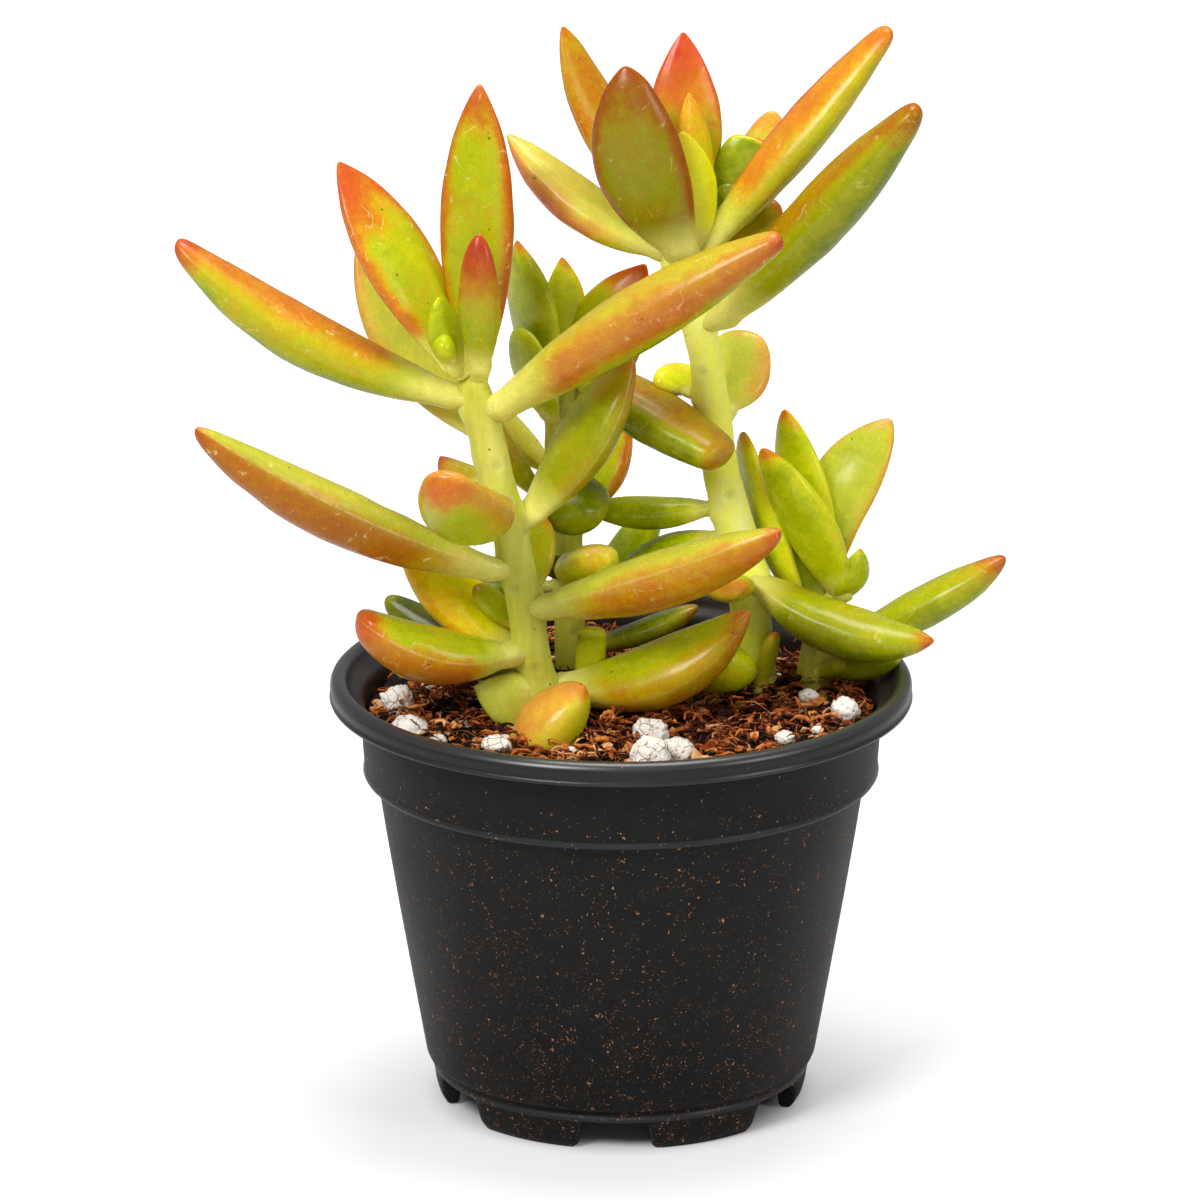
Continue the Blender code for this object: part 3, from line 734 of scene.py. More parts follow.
def make_leaf_blush():
    tree, have, give = new_group("Leaf blush", [(label, "Float", value) for label, value in BLUSH_INPUTS],
                                 ["Blush"])

    def toward(amount, first, second):
        """From the first value to the second as the amount goes from 0 to 1."""
        return times(tree, amount, sum_of(tree, "SUBTRACT", second, first), first)

    wander = sum_of(tree, "SUBTRACT", have["Cloud"], 0.5)
    over = times(tree, wander, 0.5, have["Face"])
    across = times(tree, wander, 0.35, have["Across"])
    place = times(tree, wander, 0.22, have["Along"])
    is_upper = fade(tree, over, times(tree, have["Soft"], -1.0), have["Soft"])
    is_near = fade(tree, across, have["Rim"], PAST_MARGIN)
    is_far = fade(tree, times(tree, across, -1.0), have["Rim"], PAST_MARGIN)
    past_foot = fade(tree, place, times(tree, have["Bare"], 0.2), have["Bare"])
    is_tip = fade(tree, place, sum_of(tree, "SUBTRACT", 1.0, have["Reach"]), PAST_TIP)
    turned = toward(is_upper, have["Under"], have["Upper"])
    turned = toward(is_near, turned, have["Near"])
    turned = toward(is_far, turned, have["Far"])
    turned = toward(past_foot, BARE_BLUSH, turned)
    turned = toward(is_tip, turned, have["Tip"])
    flecks = sum_of(tree, "SUBTRACT", have["Flecks"], 0.5)
    turned = times(tree, flecks, 0.22, times(tree, wander, 0.30, turned))
    tree.links.new(turned, give["Blush"])
    return tree


leaf_blush = make_leaf_blush()
print("group:", leaf_blush.name, "with", len(leaf_blush.nodes), "nodes")


# %% [markdown]
# The skin itself has marks that every leaf and stem shares: pale hair-thin scuffs from handling, pale
# freckles, tiny brown specks, and the fine grain of the cells below the wax. A scuff is a short arc, so it
# is cut from the contour lines of a noise texture, broken up by a second one. Freckles and specks are the
# middles of a few small Voronoi cells. Marks drawn by hand would be truer, but not for sixty leaves.

# %% The waxy skin group
FRECKLES = 0.6


def contour_arcs(tree, where, scale, shift, thin, patchy):
    """Short thin arcs: the middle contour of a noise, kept only inside patches of a second noise."""
    place = add(tree, "VectorMath", [(0, where), (1, (shift, 0.0, 0.0))], operation="ADD").outputs[0]
    level = sum_of(tree, "SUBTRACT", clouds(tree, place, scale, detail=1.0), 0.5)
    line = fade(tree, sum_of(tree, "ABSOLUTE", level), thin / 4, thin, 1.0, 0.0)
    patch = fade(tree, clouds(tree, place, scale * 1.3, detail=1.0), patchy, patchy + 0.08)
    return times(tree, line, patch)


def cell_dots(tree, where, scale, share, size):
    """Small round dots in the middles of a share of all Voronoi cells."""
    cells = add(tree, "TexVoronoi", [("Vector", where), ("Scale", scale)])
    own = add(tree, "SeparateColor", [("Color", cells.outputs["Color"])]).outputs["Red"]
    spot = fade(tree, cells.outputs["Distance"], size / 2, size, 1.0, 0.0)
    return times(tree, spot, sum_of(tree, "LESS_THAN", own, share))


def make_waxy_skin():
    tree, have, give = new_group(
        "Waxy skin", [("Where", "Vector", None), ("Scuffs", "Float", 0.5), ("Specks", "Float", 0.5)],
        ["Scuff", "Speck", "Grain", "Height"])
    where = have["Where"]
    broken = fade(tree, clouds(tree, where, 1500.0, detail=2.0), 0.36, 0.56, 0.15, 1.0)
    scuff = sum_of(tree, "MAXIMUM", contour_arcs(tree, where, 230.0, 0.0, 0.018, 0.58),
                   contour_arcs(tree, where, 420.0, 3.0, 0.028, 0.63))
    freckles = times(tree, cell_dots(tree, where, 1700.0, 0.10, 0.18), FRECKLES)
    scuff = sum_of(tree, "MAXIMUM", times(tree, scuff, broken), freckles)
    dot = cell_dots(tree, where, 430.0, 0.09, 0.12)
    fine = clouds(tree, where, 2600.0, detail=2.0, rough=0.6)
    broad = clouds(tree, where, 420.0)
    lumps = times(tree, fine, 0.25, times(tree, broad, 0.9))
    tree.links.new(times(tree, scuff, have["Scuffs"]), give["Scuff"])
    tree.links.new(times(tree, dot, have["Specks"]), give["Speck"])
    tree.links.new(times(tree, fine, 0.5, times(tree, broad, 0.5)), give["Grain"])
    tree.links.new(times(tree, dot, -0.4, lumps), give["Height"])
    return tree


waxy_skin = make_waxy_skin()
print("group:", waxy_skin.name, "with", len(waxy_skin.nodes), "nodes")


# %% [markdown]
# One recipe turns these groups into the finish of a leaf. The blush picks a colour from two ladders, a
# coral one and a duller golden-brown one, mixed as far as the leaf is pink. The foot is pale, partly its
# own colour and partly painted light against the shade inside the plant, and on some leaves the whole
# upper face is pale too, partly as a painted highlight. A thin pale line runs along the margin, partly the
# thin edge itself and partly a painted highlight on its crease. Scuffs are straw-coloured and specks
# brown. A little light passes through the flesh, so the shader scatters it below the skin.

# %% The finish of a leaf
CORAL = ((0.00, (88, 104, 2)), (0.16, (142, 162, 4)), (0.34, (192, 204, 26)), (0.48, (218, 188, 34)),
         (0.60, (224, 146, 34)), (0.74, (220, 112, 42)), (0.88, (214, 86, 46)), (1.00, (204, 62, 40)))
GOLDEN = ((0.00, (84, 96, 1)), (0.16, (130, 142, 1)), (0.34, (172, 172, 4)), (0.48, (182, 144, 4)),
          (0.60, (180, 112, 4)), (0.74, (176, 86, 8)), (0.88, (180, 66, 16)), (1.00, (182, 46, 18)))
PALE_AND_PAINTED_LIGHT = paint(238, 232, 122)
STRAW = paint(240, 222, 150)
BROWN = paint(96, 50, 16)
Look = namedtuple("Look", "upper under near far tip reach pink shade bare scuffs crease rim round pale",
                  defaults=(0.5, 1.0, 0.3, 0.5, 0.3, 0.6, 0.4, 0.0))


def shaded(steps, shade):
    """The same ladder of colours, made darker or lighter as a whole, partly as painted light and shade."""
    return [(position, paint(*(min(255, part * shade) for part in colour))) for position, colour in steps]


def darken(tree, colour, grain, dark):
    """A colour that the finest grain of the skin darkens a little."""
    shade = ladder(tree, grain, (0.3, dark), (0.7, WHITE))
    return blend(tree, 1.0, colour, shade, "MULTIPLY")


def leaf_colour(tree, where, skin, look):
    """Turned and unturned flesh, pale places, the line on the margin, scuffs and specks."""
    along, across, face = (noted(tree, label) for label in ("along", "across", "face"))
    flecks = clouds(tree, where, 900.0, detail=2.0, rough=0.6)
    blush = place_group(tree, leaf_blush, Along=along, Across=across, Face=face, Flecks=flecks,
                        Cloud=clouds(tree, where, 150.0, detail=4.0, rough=0.55), Upper=look.upper,
                        Under=look.under, Near=look.near, Far=look.far, Rim=look.rim, Tip=look.tip,
                        Reach=look.reach, Bare=look.bare, Soft=0.60 - 0.45 * look.crease)["Blush"]
    # The leaf's shade lightens or darkens both ladders: partly its own colour, partly painted light and
    # shade.
    colour = blend(tree, look.pink, ladder(tree, blush, *shaded(GOLDEN, look.shade)),
                   ladder(tree, blush, *shaded(CORAL, look.shade)))
    # Pale foot: partly the leaf's own colour, partly painted light against the shade inside the plant.
    colour = blend(tree, fade(tree, along, 0.02, 0.24, 0.85, 0.0), colour, PALE_AND_PAINTED_LIGHT)
    # Paler upper face: partly its own colour, partly a painted highlight on the side that faces the lights.
    colour = blend(tree, fade(tree, face, -0.4, 0.5, 0.0, look.pale), colour, PALE_AND_PAINTED_LIGHT)
    # Pale margin line: partly the thin edge itself, partly a painted highlight along the crease.
    margin_line_and_highlight = fade(tree, sum_of(tree, "ABSOLUTE", across), 0.9955, 0.9995, 0.0, 0.55 * look.crease)
    margin_line_and_highlight = times(tree, margin_line_and_highlight, fade(tree, flecks, 0.35, 0.60, 0.2, 1.0))
    colour = blend(tree, margin_line_and_highlight, colour, STRAW)
    colour = darken(tree, colour, skin["Grain"], (0.76, 0.76, 0.70, 1.0))
    colour = blend(tree, times(tree, skin["Scuff"], 0.55), colour, STRAW)
    return blend(tree, skin["Speck"], colour, BROWN)


def leaf_finish(name, look):
    material, tree, shader, where = new_material(name + "_skin")
    skin = place_group(tree, waxy_skin, Where=where, Scuffs=look.scuffs, Specks=0.8)
    surface(tree, shader, leaf_colour(tree, where, skin, look), times(tree, skin["Grain"], 0.20, 0.16),
            skin["Height"], strength=0.25, depth=0.15 * MM,
            Subsurface_Weight=0.32, Subsurface_Radius=(1.0, 0.8, 0.12), Subsurface_Scale=2.6 * MM,
            Specular_IOR_Level=0.30, Specular_Tint=(1.0, 0.97, 0.86, 1.0))
    return material


print("leaf ladders:", len(CORAL), "coral and", len(GOLDEN), "golden steps")


# %% [markdown]
# ## How each leaf has coloured
# No two leaves have seen the same sun, so each one has a line of its own in the gardener's notes below.
# The first six numbers say how far its upper face, its underside, the margin nearer the front, the far
# margin and its tip have turned from green (0) to red (1), and how far down the tip's colour reaches. Then
# comes how pink or golden the turned parts are, and how light the whole leaf is: partly its own colour,
# partly painted light and shade for how brightly it is lit among the others. The named values are for
# leaves that differ: where along them the colour starts (bare), how scuffed they are, how sharp the
# crease of their margins is, where those margins begin (rim), whether the tip is blunt (round above 0) or
# pointed (below 0), and how pale the upper face is, partly its own colour and partly a painted highlight.
# One finish for all would be quick and look like wax.
#
# The left stem comes first. Most of its leaves have turned orange at their tips and along their margins.

# %% The leaves of the left stem
LOOKS = {}
LOOKS["left"] = {
    1: Look(0.62, 0.00, 0.40, 0.68, 0.86, 0.12, 0.7, 0.98, scuffs=0.9, crease=0.1, rim=0.2, round=1.0),
    2: Look(0.36, 0.50, 0.67, 0.68, 0.86, 0.46, 0.5, 1.05, scuffs=0.8, crease=0.4, rim=0.55, round=-0.48),
    3: Look(0.34, 0.60, 0.74, 0.76, 0.72, 0.20, 0.2, 1.06, scuffs=1.0, crease=0.6, rim=0.56, round=-0.36),
    4: Look(0.36, 0.32, 0.40, 0.40, 0.90, 0.66, 0.5, 0.92, scuffs=0.2, crease=0.2, round=0.3),
    5: Look(0.32, 0.50, 0.54, 0.48, 0.72, 0.25, 0.3, 1.12,
            scuffs=1.0, crease=0.4, rim=0.4, round=-0.36, pale=0.35),
    6: Look(0.46, 0.08, 0.66, 0.60, 0.84, 0.08, 0.6, 0.96,
            scuffs=0.8, crease=0.1, rim=0.25, round=1.0, pale=0.1),
    7: Look(0.58, 0.34, 0.48, 0.56, 0.68, 0.22, 0.9, 0.97,
            bare=0.1, scuffs=0.3, crease=0.0, round=0.5, pale=0.15),
    8: Look(0.35, 0.63, 0.54, 0.48, 0.80, 0.10, 0.05, 1.04,
            scuffs=1.0, crease=0.8, rim=0.93, round=0.5, pale=0.25),
    9: Look(0.44, 0.40, 0.54, 0.54, 0.84, 0.40, 0.4, round=-0.54),
    10: Look(0.33, 0.50, 0.42, 0.38, 0.60, 0.40, 0.2, 0.92, crease=0.5),
    11: Look(0.36, 0.34, 0.44, 0.44, 0.70, 0.25, 0.3, 1.10),
    12: Look(0.38, 0.58, 0.56, 0.50, 0.80, 0.14, 0.3, 1.06, crease=0.5, rim=0.85, round=0.3, pale=0.2),
    13: Look(0.32, 0.58, 0.50, 0.44, 0.64, 0.22, 0.2, 1.04, crease=0.3, rim=0.2, round=-0.12),
    14: Look(0.62, 0.34, 0.46, 0.48, 0.68, 0.16, 0.9, 1.10,
             scuffs=0.2, bare=0.1, crease=0.0, round=0.4, pale=0.2),
    15: Look(0.36, 0.62, 0.58, 0.50, 0.76, 0.16, 0.5, 1.04, scuffs=0.8, crease=0.7, rim=0.9, round=0.8),
    16: Look(0.36, 0.52, 0.54, 0.50, 0.66, 0.10, 0.1, 1.50, crease=0.4, rim=0.0),
    17: Look(0.10, 0.14, 0.30, 0.50, 0.50, 0.10, 0.3, 0.80),
    18: Look(0.34, 0.30, 0.32, 0.32, 0.60, 0.12, 0.8, 1.00, bare=0.9, crease=0.1, pale=0.35),
}
print("looks on the left stem:", len(LOOKS["left"]))


# %% [markdown]
# The middle stem stands behind the left one and in its shade, so its leaves have stayed green for the
# most part. The fifth is the exception, a thick old one with a brownish-pink upper face.

# %% The leaves of the middle stem
# The lighter shades here, above 1, are painted light for leaves that sit deep in the plant's shade.
LOOKS["middle"] = {
    1: Look(0.24, 0.26, 0.28, 0.46, 0.72, 0.12, 0.6, 1.12, round=-0.36),
    2: Look(0.26, 0.24, 0.24, 0.24, 0.28, 0.20, 0.5, 1.20, crease=0.9, pale=0.3),
    3: Look(0.28, 0.26, 0.30, 0.52, 0.74, 0.18, 0.6, 1.28, round=-0.48, pale=0.1),
    4: Look(0.34, 0.38, 0.42, 0.60, 0.84, 0.40, 0.1, 1.06, crease=0.5, round=-0.6),
    5: Look(0.52, 0.12, 0.24, 0.52, 0.52, 0.16, 0.5, 0.93, crease=0.1, round=1.0),
    6: Look(0.40, 0.30, 0.40, 0.60, 0.60, 0.16, 0.1, 1.12),
    7: Look(0.40, 0.34, 0.40, 0.76, 0.84, 0.20, 0.5, 1.28, round=-0.42, pale=0.4),
    8: Look(0.12, 0.10, 0.16, 0.20, 0.20, 0.10, 0.0, 1.10, crease=0.0),
    9: Look(0.34, 0.36, 0.66, 0.66, 0.76, 0.20, 0.6, 1.25),
    10: Look(0.18, 0.14, 0.22, 0.30, 0.50, 0.20, 0.2, 1.42),
    11: Look(0.30, 0.30, 0.36, 0.36, 0.62, 0.30, 1.0, 1.40, crease=0.0, pale=0.35),
    12: Look(0.14, 0.14, 0.18, 0.24, 0.30, 0.10, 0.1, 0.86),
    13: Look(0.16, 0.12, 0.30, 0.36, 0.56, 0.20, 0.2, 0.95),
}
print("looks on the middle stem:", len(LOOKS["middle"]))


# %% [markdown]
# The tall right stem carries a crown of long leaves that have turned orange and coral. The few leaves
# below it are greener.

# %% The leaves of the right stem
LOOKS["right"] = {
    1: Look(0.56, 0.50, 0.62, 0.66, 0.72, 0.08, 0.3, 1.04, bare=0.7, crease=0.5, rim=0.7, round=-0.18),
    2: Look(0.40, 0.40, 0.70, 0.74, 0.70, 0.44, 0.3, 0.81, rim=0.66, round=-0.10),
    3: Look(0.42, 0.56, 0.54, 0.70, 0.94, 0.64, 0.7, 1.04, bare=0.95, crease=0.5, rim=0.7, round=-0.6),
    4: Look(0.60, 0.28, 0.40, 0.80, 0.66, 0.24, 0.9, 0.98, bare=0.3, crease=0.2, rim=0.2, round=1.0),
    5: Look(0.52, 0.18, 0.30, 0.52, 0.66, 0.14, 0.0, 0.96, bare=0.4, crease=0.1, round=0.8),
    6: Look(0.46, 0.62, 0.76, 0.70, 0.72, 0.10, 1.00, 1.04,
            bare=0.6, crease=0.5, rim=0.70, round=-0.24, pale=0.40),
    7: Look(0.32, 0.40, 0.60, 0.64, 0.62, 0.30, 1.0, 1.06, rim=0.35, pale=0.15),
    8: Look(0.44, 0.42, 0.54, 0.54, 0.64, 0.50, 0.8, 1.12, scuffs=0.0, round=-0.6),
    9: Look(0.35, 0.35, 0.36, 0.66, 0.60, 0.16, 1.0, 1.10, rim=0.3, pale=0.4),
    10: Look(0.40, 0.40, 0.46, 0.46, 0.54, 0.20, 1.0, 1.26, bare=0.6),
    11: Look(0.18, 0.10, 0.16, 0.20, 0.20, 0.10, 0.1, 1.36),
    12: Look(0.16, 0.12, 0.16, 0.20, 0.20, 0.10, 0.1, 1.50),
    13: Look(0.26, 0.22, 0.30, 0.34, 0.60, 0.10, 0.2, 1.30, round=1.0),
    14: Look(0.34, 0.20, 0.32, 0.46, 0.76, 0.18, 0.4, 1.00, scuffs=0.9, crease=0.2, rim=0.8, round=-0.1),
}
print("looks on the right stem:", len(LOOKS["right"]))


# %% [markdown]
# The short offshoot is young. Its leaves are a fresh green with a touch of orange at the very tip.

# %% The leaves of the offshoot
LOOKS["offshoot"] = {
    1: Look(0.32, 0.32, 0.36, 0.46, 0.70, 0.14, 0.4, 1.24, round=-0.1),
    2: Look(0.34, 0.30, 0.52, 0.54, 0.74, 0.16, 0.7, 1.06, crease=0.2, rim=0.7, round=-0.12, pale=0.2),
    3: Look(0.28, 0.26, 0.34, 0.52, 0.64, 0.14, 0.2, 1.20, round=0.1),
    4: Look(0.32, 0.28, 0.38, 0.46, 0.66, 0.14, 0.7, 1.30, round=0.3),
    5: Look(0.33, 0.30, 0.36, 0.40, 0.62, 0.12, 0.4, 1.12, round=-0.5),
    6: Look(0.36, 0.26, 0.34, 0.46, 0.78, 0.20, 0.4, 0.96, crease=0.1, round=0.4),
}
print("looks on the offshoot stem:", len(LOOKS["offshoot"]))


# %% [markdown]
# ## Easing the leaves
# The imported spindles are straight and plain, and a real leaf sags, swells or leans a little away from its
# spindle. These small corrections ease a root, a tip or a belly sideways and up, by about three millimetres
# at the most, or make a leaf wider or thicker. Leaves that aren't listed are right as packed. Two short
# leaves at the foot of the left stem are drawn afresh instead: one is a fat thumb, the other a broad wedge.

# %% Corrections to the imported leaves
NUDGES = {}
NUDGES["left"] = {
    1: Nudge(root=(0, 1.2), tip=(-0.4, 0.4), belly=(0, 0.5), thick=1.15),
    2: Nudge(root=(1.5, 2.4), tip=(0.3, 0.1), belly=(0.5, 0.2)),
    3: Nudge(root=(0, 1.0)),
    4: Nudge(root=(0, 0.8)),
    5: Nudge(root=(2.5, 2.0), tip=(0.9, 1.2), wide=0.95),
    6: Nudge(root=(-0.5, 1.5), tip=(-0.2, 0), belly=(0, 0.3), thick=1.08),
    7: Nudge(root=(0, 0.4), thick=0.95),
    9: Nudge(tip=(1.8, 0), wide=0.9),
    10: Nudge(root=(-0.5, 0.5), belly=(-0.3, 0), wide=1.12),
    12: Nudge(tip=(0, 0.5), belly=(0, 0.4), thick=0.93),
    13: Nudge(root=(0, -0.5), tip=(0.1, -1.2), belly=(0.1, -0.8)),
    15: Nudge(tip=(0.4, -0.6), belly=(0, -0.4), wide=0.95, thick=0.95),
    17: Nudge(tip=(0.8, -0.8)),
}
NUDGES["middle"] = {
    1: Nudge(tip=(0, -1.1), belly=(0.5, 0), wide=1.2),
    2: Nudge(tip=(0.8, 2.0), wide=1.3),
    3: Nudge(tip=(0.1, 0.2), belly=(0.5, 0)),
    4: Nudge(tip=(-0.5, 0.3), belly=(-2.0, 1.5), wide=1.2),
    5: Nudge(belly=(0.2, 0.4), wide=1.2, thick=1.12),
    7: Nudge(tip=(-0.6, -0.4)),
    8: Nudge(tip=(0.3, 0.3), belly=(0.4, 0.3), wide=1.1, thick=1.1),
    11: Nudge(tip=(-2.2, 0.4), belly=(-0.5, 0.3), wide=1.25, thick=1.25),
}
NUDGES["right"] = {
    1: Nudge(root=(1.2, 1.2), belly=(0.5, 0.2)),
    2: Nudge(root=(0.5, 1.8), tip=(0.1, 0.6), wide=1.04),
    3: Nudge(root=(0, 1.5), wide=1.06),
    4: Nudge(root=(-0.5, 1.4), tip=(0, 0.2), belly=(-0.6, 0.9)),
    5: Nudge(root=(0, 1.5), tip=(-0.2, 0.1), belly=(-0.3, 0.5)),
    6: Nudge(root=(0, 2.0), belly=(0, -0.2), thick=1.25),
    7: Nudge(tip=(0.3, 0)),
    8: Nudge(root=(0, 1.5), tip=(-2.9, -0.9), belly=(-0.6, 0), wide=1.3),
    9: Nudge(root=(0, -1.5), tip=(0, 1.3), belly=(-0.3, -0.5)),
    10: Nudge(tip=(1.5, -1.0), wide=1.3),
    13: Nudge(wide=1.35, thick=1.25),
    14: Nudge(root=(-2.0, -0.2), tip=(-0.3, 0.1), belly=(0, -0.5)),
}
NUDGES["offshoot"] = {
    1: Nudge(tip=(0.6, 0), belly=(0.3, 0), wide=1.2),
    2: Nudge(root=(-3.0, 1.0), tip=(-1.1, 0), belly=(-1.2, 0), wide=1.08),
    3: Nudge(root=(1.5, 0), belly=(0.8, 0), wide=1.12),
    4: Nudge(root=(-0.5, 0), tip=(-1.2, -0.3), belly=(-1.2, 0), wide=1.9, thick=1.3),
    5: Nudge(root=(-1.5, 0), tip=(-0.6, -1.6), wide=1.65, thick=1.2),
    6: Nudge(wide=1.08, thick=1.08),
}
REDRAWN = {
    "leaf_left_14": small_leaf((-15.4, -13.8, 60.6), (-5.6, -16.4, 71.2), 12.2, 11.0, (-0.6, -0.25, 0.75),
                               fullest=0.36, blunt=0.70, neck=0.55),
    "leaf_left_18": small_leaf((-14.4, -7.6, 65.2), (-22.6, -10.2, 69.2), 9.4, 5.0, (0, -1, 0.3),
                               fullest=0.12, blunt=0.95, neck=0.85),
}
print("leaves eased:", sum(len(rows) for rows in NUDGES.values()), "and redrawn:", len(REDRAWN))


# %% [markdown]
# Now every leaf of the frame gets its fine twin. Its root goes a little way into the stem, to the nearest
# point of the stem's middle line. The thumb is the exception: it has its foot in the potting mix.

# %% Build the leaves
ROOT_DROP = 3.0 * MM
THUMB_LEAF = "leaf_left_14"
for name in LEAVES:
    stem, number = name.split("_")[1], int(name.split("_")[2])
    look = LOOKS[stem][number]
    shape = REDRAWN.get(name) or nudged(LEAVES[name], NUDGES[stem].get(number, Nudge()))
    root = stem_middle_near(shape.base - shape.along * ROOT_DROP, stem)
    if name == THUMB_LEAF:
        root = shape.base - shape.along * ROOT_DROP / 3
    build_leaf("fine_" + name, shape, leaf_finish(name, look), look, root, stands_for=(name,))
print("leaves built:", len(LEAVES))


# %% [markdown]
# ## The stems
# The stems are as thick as a pencil, pale and juicy, with a cushion under each leaf and small scars where
# older leaves have dropped. A bevelled curve gives an even tube and no more. The skin over rings can swell
# under each leaf and carry the scars as dents with a raised rim.

# %% Rings of a stem, its cushions and scars
STEM_AROUND = 40
STEM_STEP = 0.7 * MM
CUSHION = 0.75 * MM
CUSHION_LENGTH = 2.4 * MM
CUSHION_LIFT = 0.4 * MM
SCAR_SIZE = 1.05 * MM
SCAR_RIM = 0.28 * MM
SCAR_DENT = 0.22 * MM
STEM_UNEVEN = 0.16 * MM
STEM_LUMPS = 3.5 * MM
TO_VIEWER = np.array((0.0, -1.0, 0.0))
UPWARD = np.array((0.0, 0.0, 1.0))
Scar = namedtuple("Scar", "height heading")


def stem_rings(centres, radii):
    """Finer centres, radii and cross directions along a stem."""
    lengths = np.concatenate(([0.0], np.cumsum(np.linalg.norm(np.diff(centres, axis=0), axis=1))))
    at = np.arange(0.0, lengths[-1], STEM_STEP)
    line = smooth_through(lengths, centres, at)
    wide = smooth_through(lengths, radii, at)
    heading = np.gradient(line, axis=0)
    heading /= np.linalg.norm(heading, axis=1)[:, None]
    front = TO_VIEWER - heading * (heading @ TO_VIEWER)[:, None]
    front /= np.linalg.norm(front, axis=1)[:, None]
    return line, wide, heading, front, np.cross(heading, front)


def cushion(line, outward, foot):
    """How far the skin of a stem swells under one leaf with its foot there."""
    apart = foot - line
    gap = apart @ UPWARD
    toward = apart / np.linalg.norm(apart, axis=1)[:, None]
    facing = np.maximum((outward * toward[:, None, :]).sum(axis=2), 0) ** 2
    return CUSHION * bell(gap, CUSHION_LIFT, CUSHION_LENGTH)[:, None] * facing


def apart_from_scar(scar, line, wide, angles):
    """Distance of every point of a stem from a scar's middle, in scar sizes."""
    ring = np.argmin(np.abs(line[:, 2] - scar.height * MM))
    sideways = np.angle(np.exp(1j * (angles - math.radians(scar.heading)))) * wide[ring]
    lengthwise = (np.arange(len(line)) - ring) * STEM_STEP
    return np.hypot(sideways[None, :] * 0.8, lengthwise[:, None]) / SCAR_SIZE


print("stem rings every", round(STEM_STEP / MM, 1), "mm")


# %% [markdown]
# Put together, the radius of a stem at any point is its measured radius, plus the cushions of all leaves
# on that stem, plus the rims and minus the dents of its scars.

# %% Build a stem
def build_stem(name, scars, finish):
    line, wide, heading, front, side = stem_rings(*STEMS[name])
    angles = np.linspace(0, 2 * math.pi, STEM_AROUND, endpoint=False)
    outward = (np.cos(angles)[None, :, None] * front[:, None, :]
               + np.sin(angles)[None, :, None] * side[:, None, :])
    reach = np.repeat(wide[:, None], STEM_AROUND, axis=1)
    for leaf, shape in LEAVES.items():
        if leaf.split("_")[1] == name:
            reach += cushion(line, outward, shape.base)
    scarred = np.zeros_like(reach)
    for scar in scars:
        apart = apart_from_scar(scar, line, wide, angles)
        reach += SCAR_RIM * bell(apart, 1, 0.30) - SCAR_DENT * bell(apart, 0, 0.7)
        scarred = np.maximum(scarred, np.exp(-apart ** 4))
    points = (line[:, None, :] + outward * reach[:, :, None]).reshape(-1, 3)
    points += outward.reshape(-1, 3) * (STEM_UNEVEN * wobble(points, STEM_LUMPS))[:, None]
    crown = line[-1] + heading[-1] * wide[-1] * 0.9
    points = np.vstack((points, line[0], crown))
    height = np.repeat(np.linspace(0, 1, len(line)), STEM_AROUND)
    notes = {"along": np.concatenate((height, (0.0, 1.0))),
             "scar": np.concatenate((scarred.ravel(), (0.0, 0.0)))}
    faces = skin_over(len(line), STEM_AROUND)
    return add_piece("fine_stem_" + name, points, faces, finish, notes, ("stem_" + name,))


print("a stem has", STEM_AROUND, "points around")


# %% [markdown]
# The stem skin is a pale yellow-green wax, greener and darker at the foot, partly its own colour and
# partly painted shade under the leaves, with faint stripes that run along it, a few brown specks and dry,
# greyish-brown scars. It uses the same skin group as the leaves. The right stem is just as pale in the
# shade of its crown, so it gets a lighter mix of the same finish: painted light that makes up for that
# shade.

# %% Stem finish and the four stems
STEM_TONES = ((0.30, (184, 188, 46)), (0.48, (212, 211, 78)), (0.66, (232, 230, 120)))
STEM_FOOT_AND_SHADE = paint(150, 156, 18)
DRY_SCAR = paint(168, 150, 92)
ALONG_STEM = (1.0, 1.0, 0.12)


def stem_finish(name, light):
    material, tree, shader, where = new_material(name)
    skin = place_group(tree, waxy_skin, Where=where, Scuffs=0.35, Specks=0.9)
    stretched = add(tree, "Mapping", [("Vector", where), ("Scale", ALONG_STEM)]).outputs["Vector"]
    stripes = clouds(tree, stretched, 900.0, detail=2.0)
    tone = times(tree, stripes, 0.35, times(tree, clouds(tree, where, 90.0), 0.65))
    colour = ladder(tree, tone, *shaded(STEM_TONES, light))
    # Darker, greener foot: partly its own colour, partly painted shade under the leaves.
    colour = blend(tree, fade(tree, noted(tree, "along"), 0.0, 0.36, 0.60, 0.0), colour, STEM_FOOT_AND_SHADE)
    scar_edge = times(tree, clouds(tree, where, 1500.0), 0.5, noted(tree, "scar"))
    colour = blend(tree, fade(tree, scar_edge, 0.80, 1.20, 0.0, 0.24), colour, DRY_SCAR)
    colour = darken(tree, colour, skin["Grain"], (0.86, 0.86, 0.86, 1.0))
    colour = blend(tree, skin["Speck"], colour, BROWN)
    surface(tree, shader, colour, times(tree, skin["Grain"], 0.20, 0.30),
            times(tree, stripes, 0.6, skin["Height"]), strength=0.30, depth=0.15 * MM,
            Subsurface_Weight=0.20, Subsurface_Radius=(1.0, 0.95, 0.20), Subsurface_Scale=2.0 * MM,
            Specular_IOR_Level=0.25)
    return material


pale_stem = stem_finish("pale_stem_skin", 1.0)
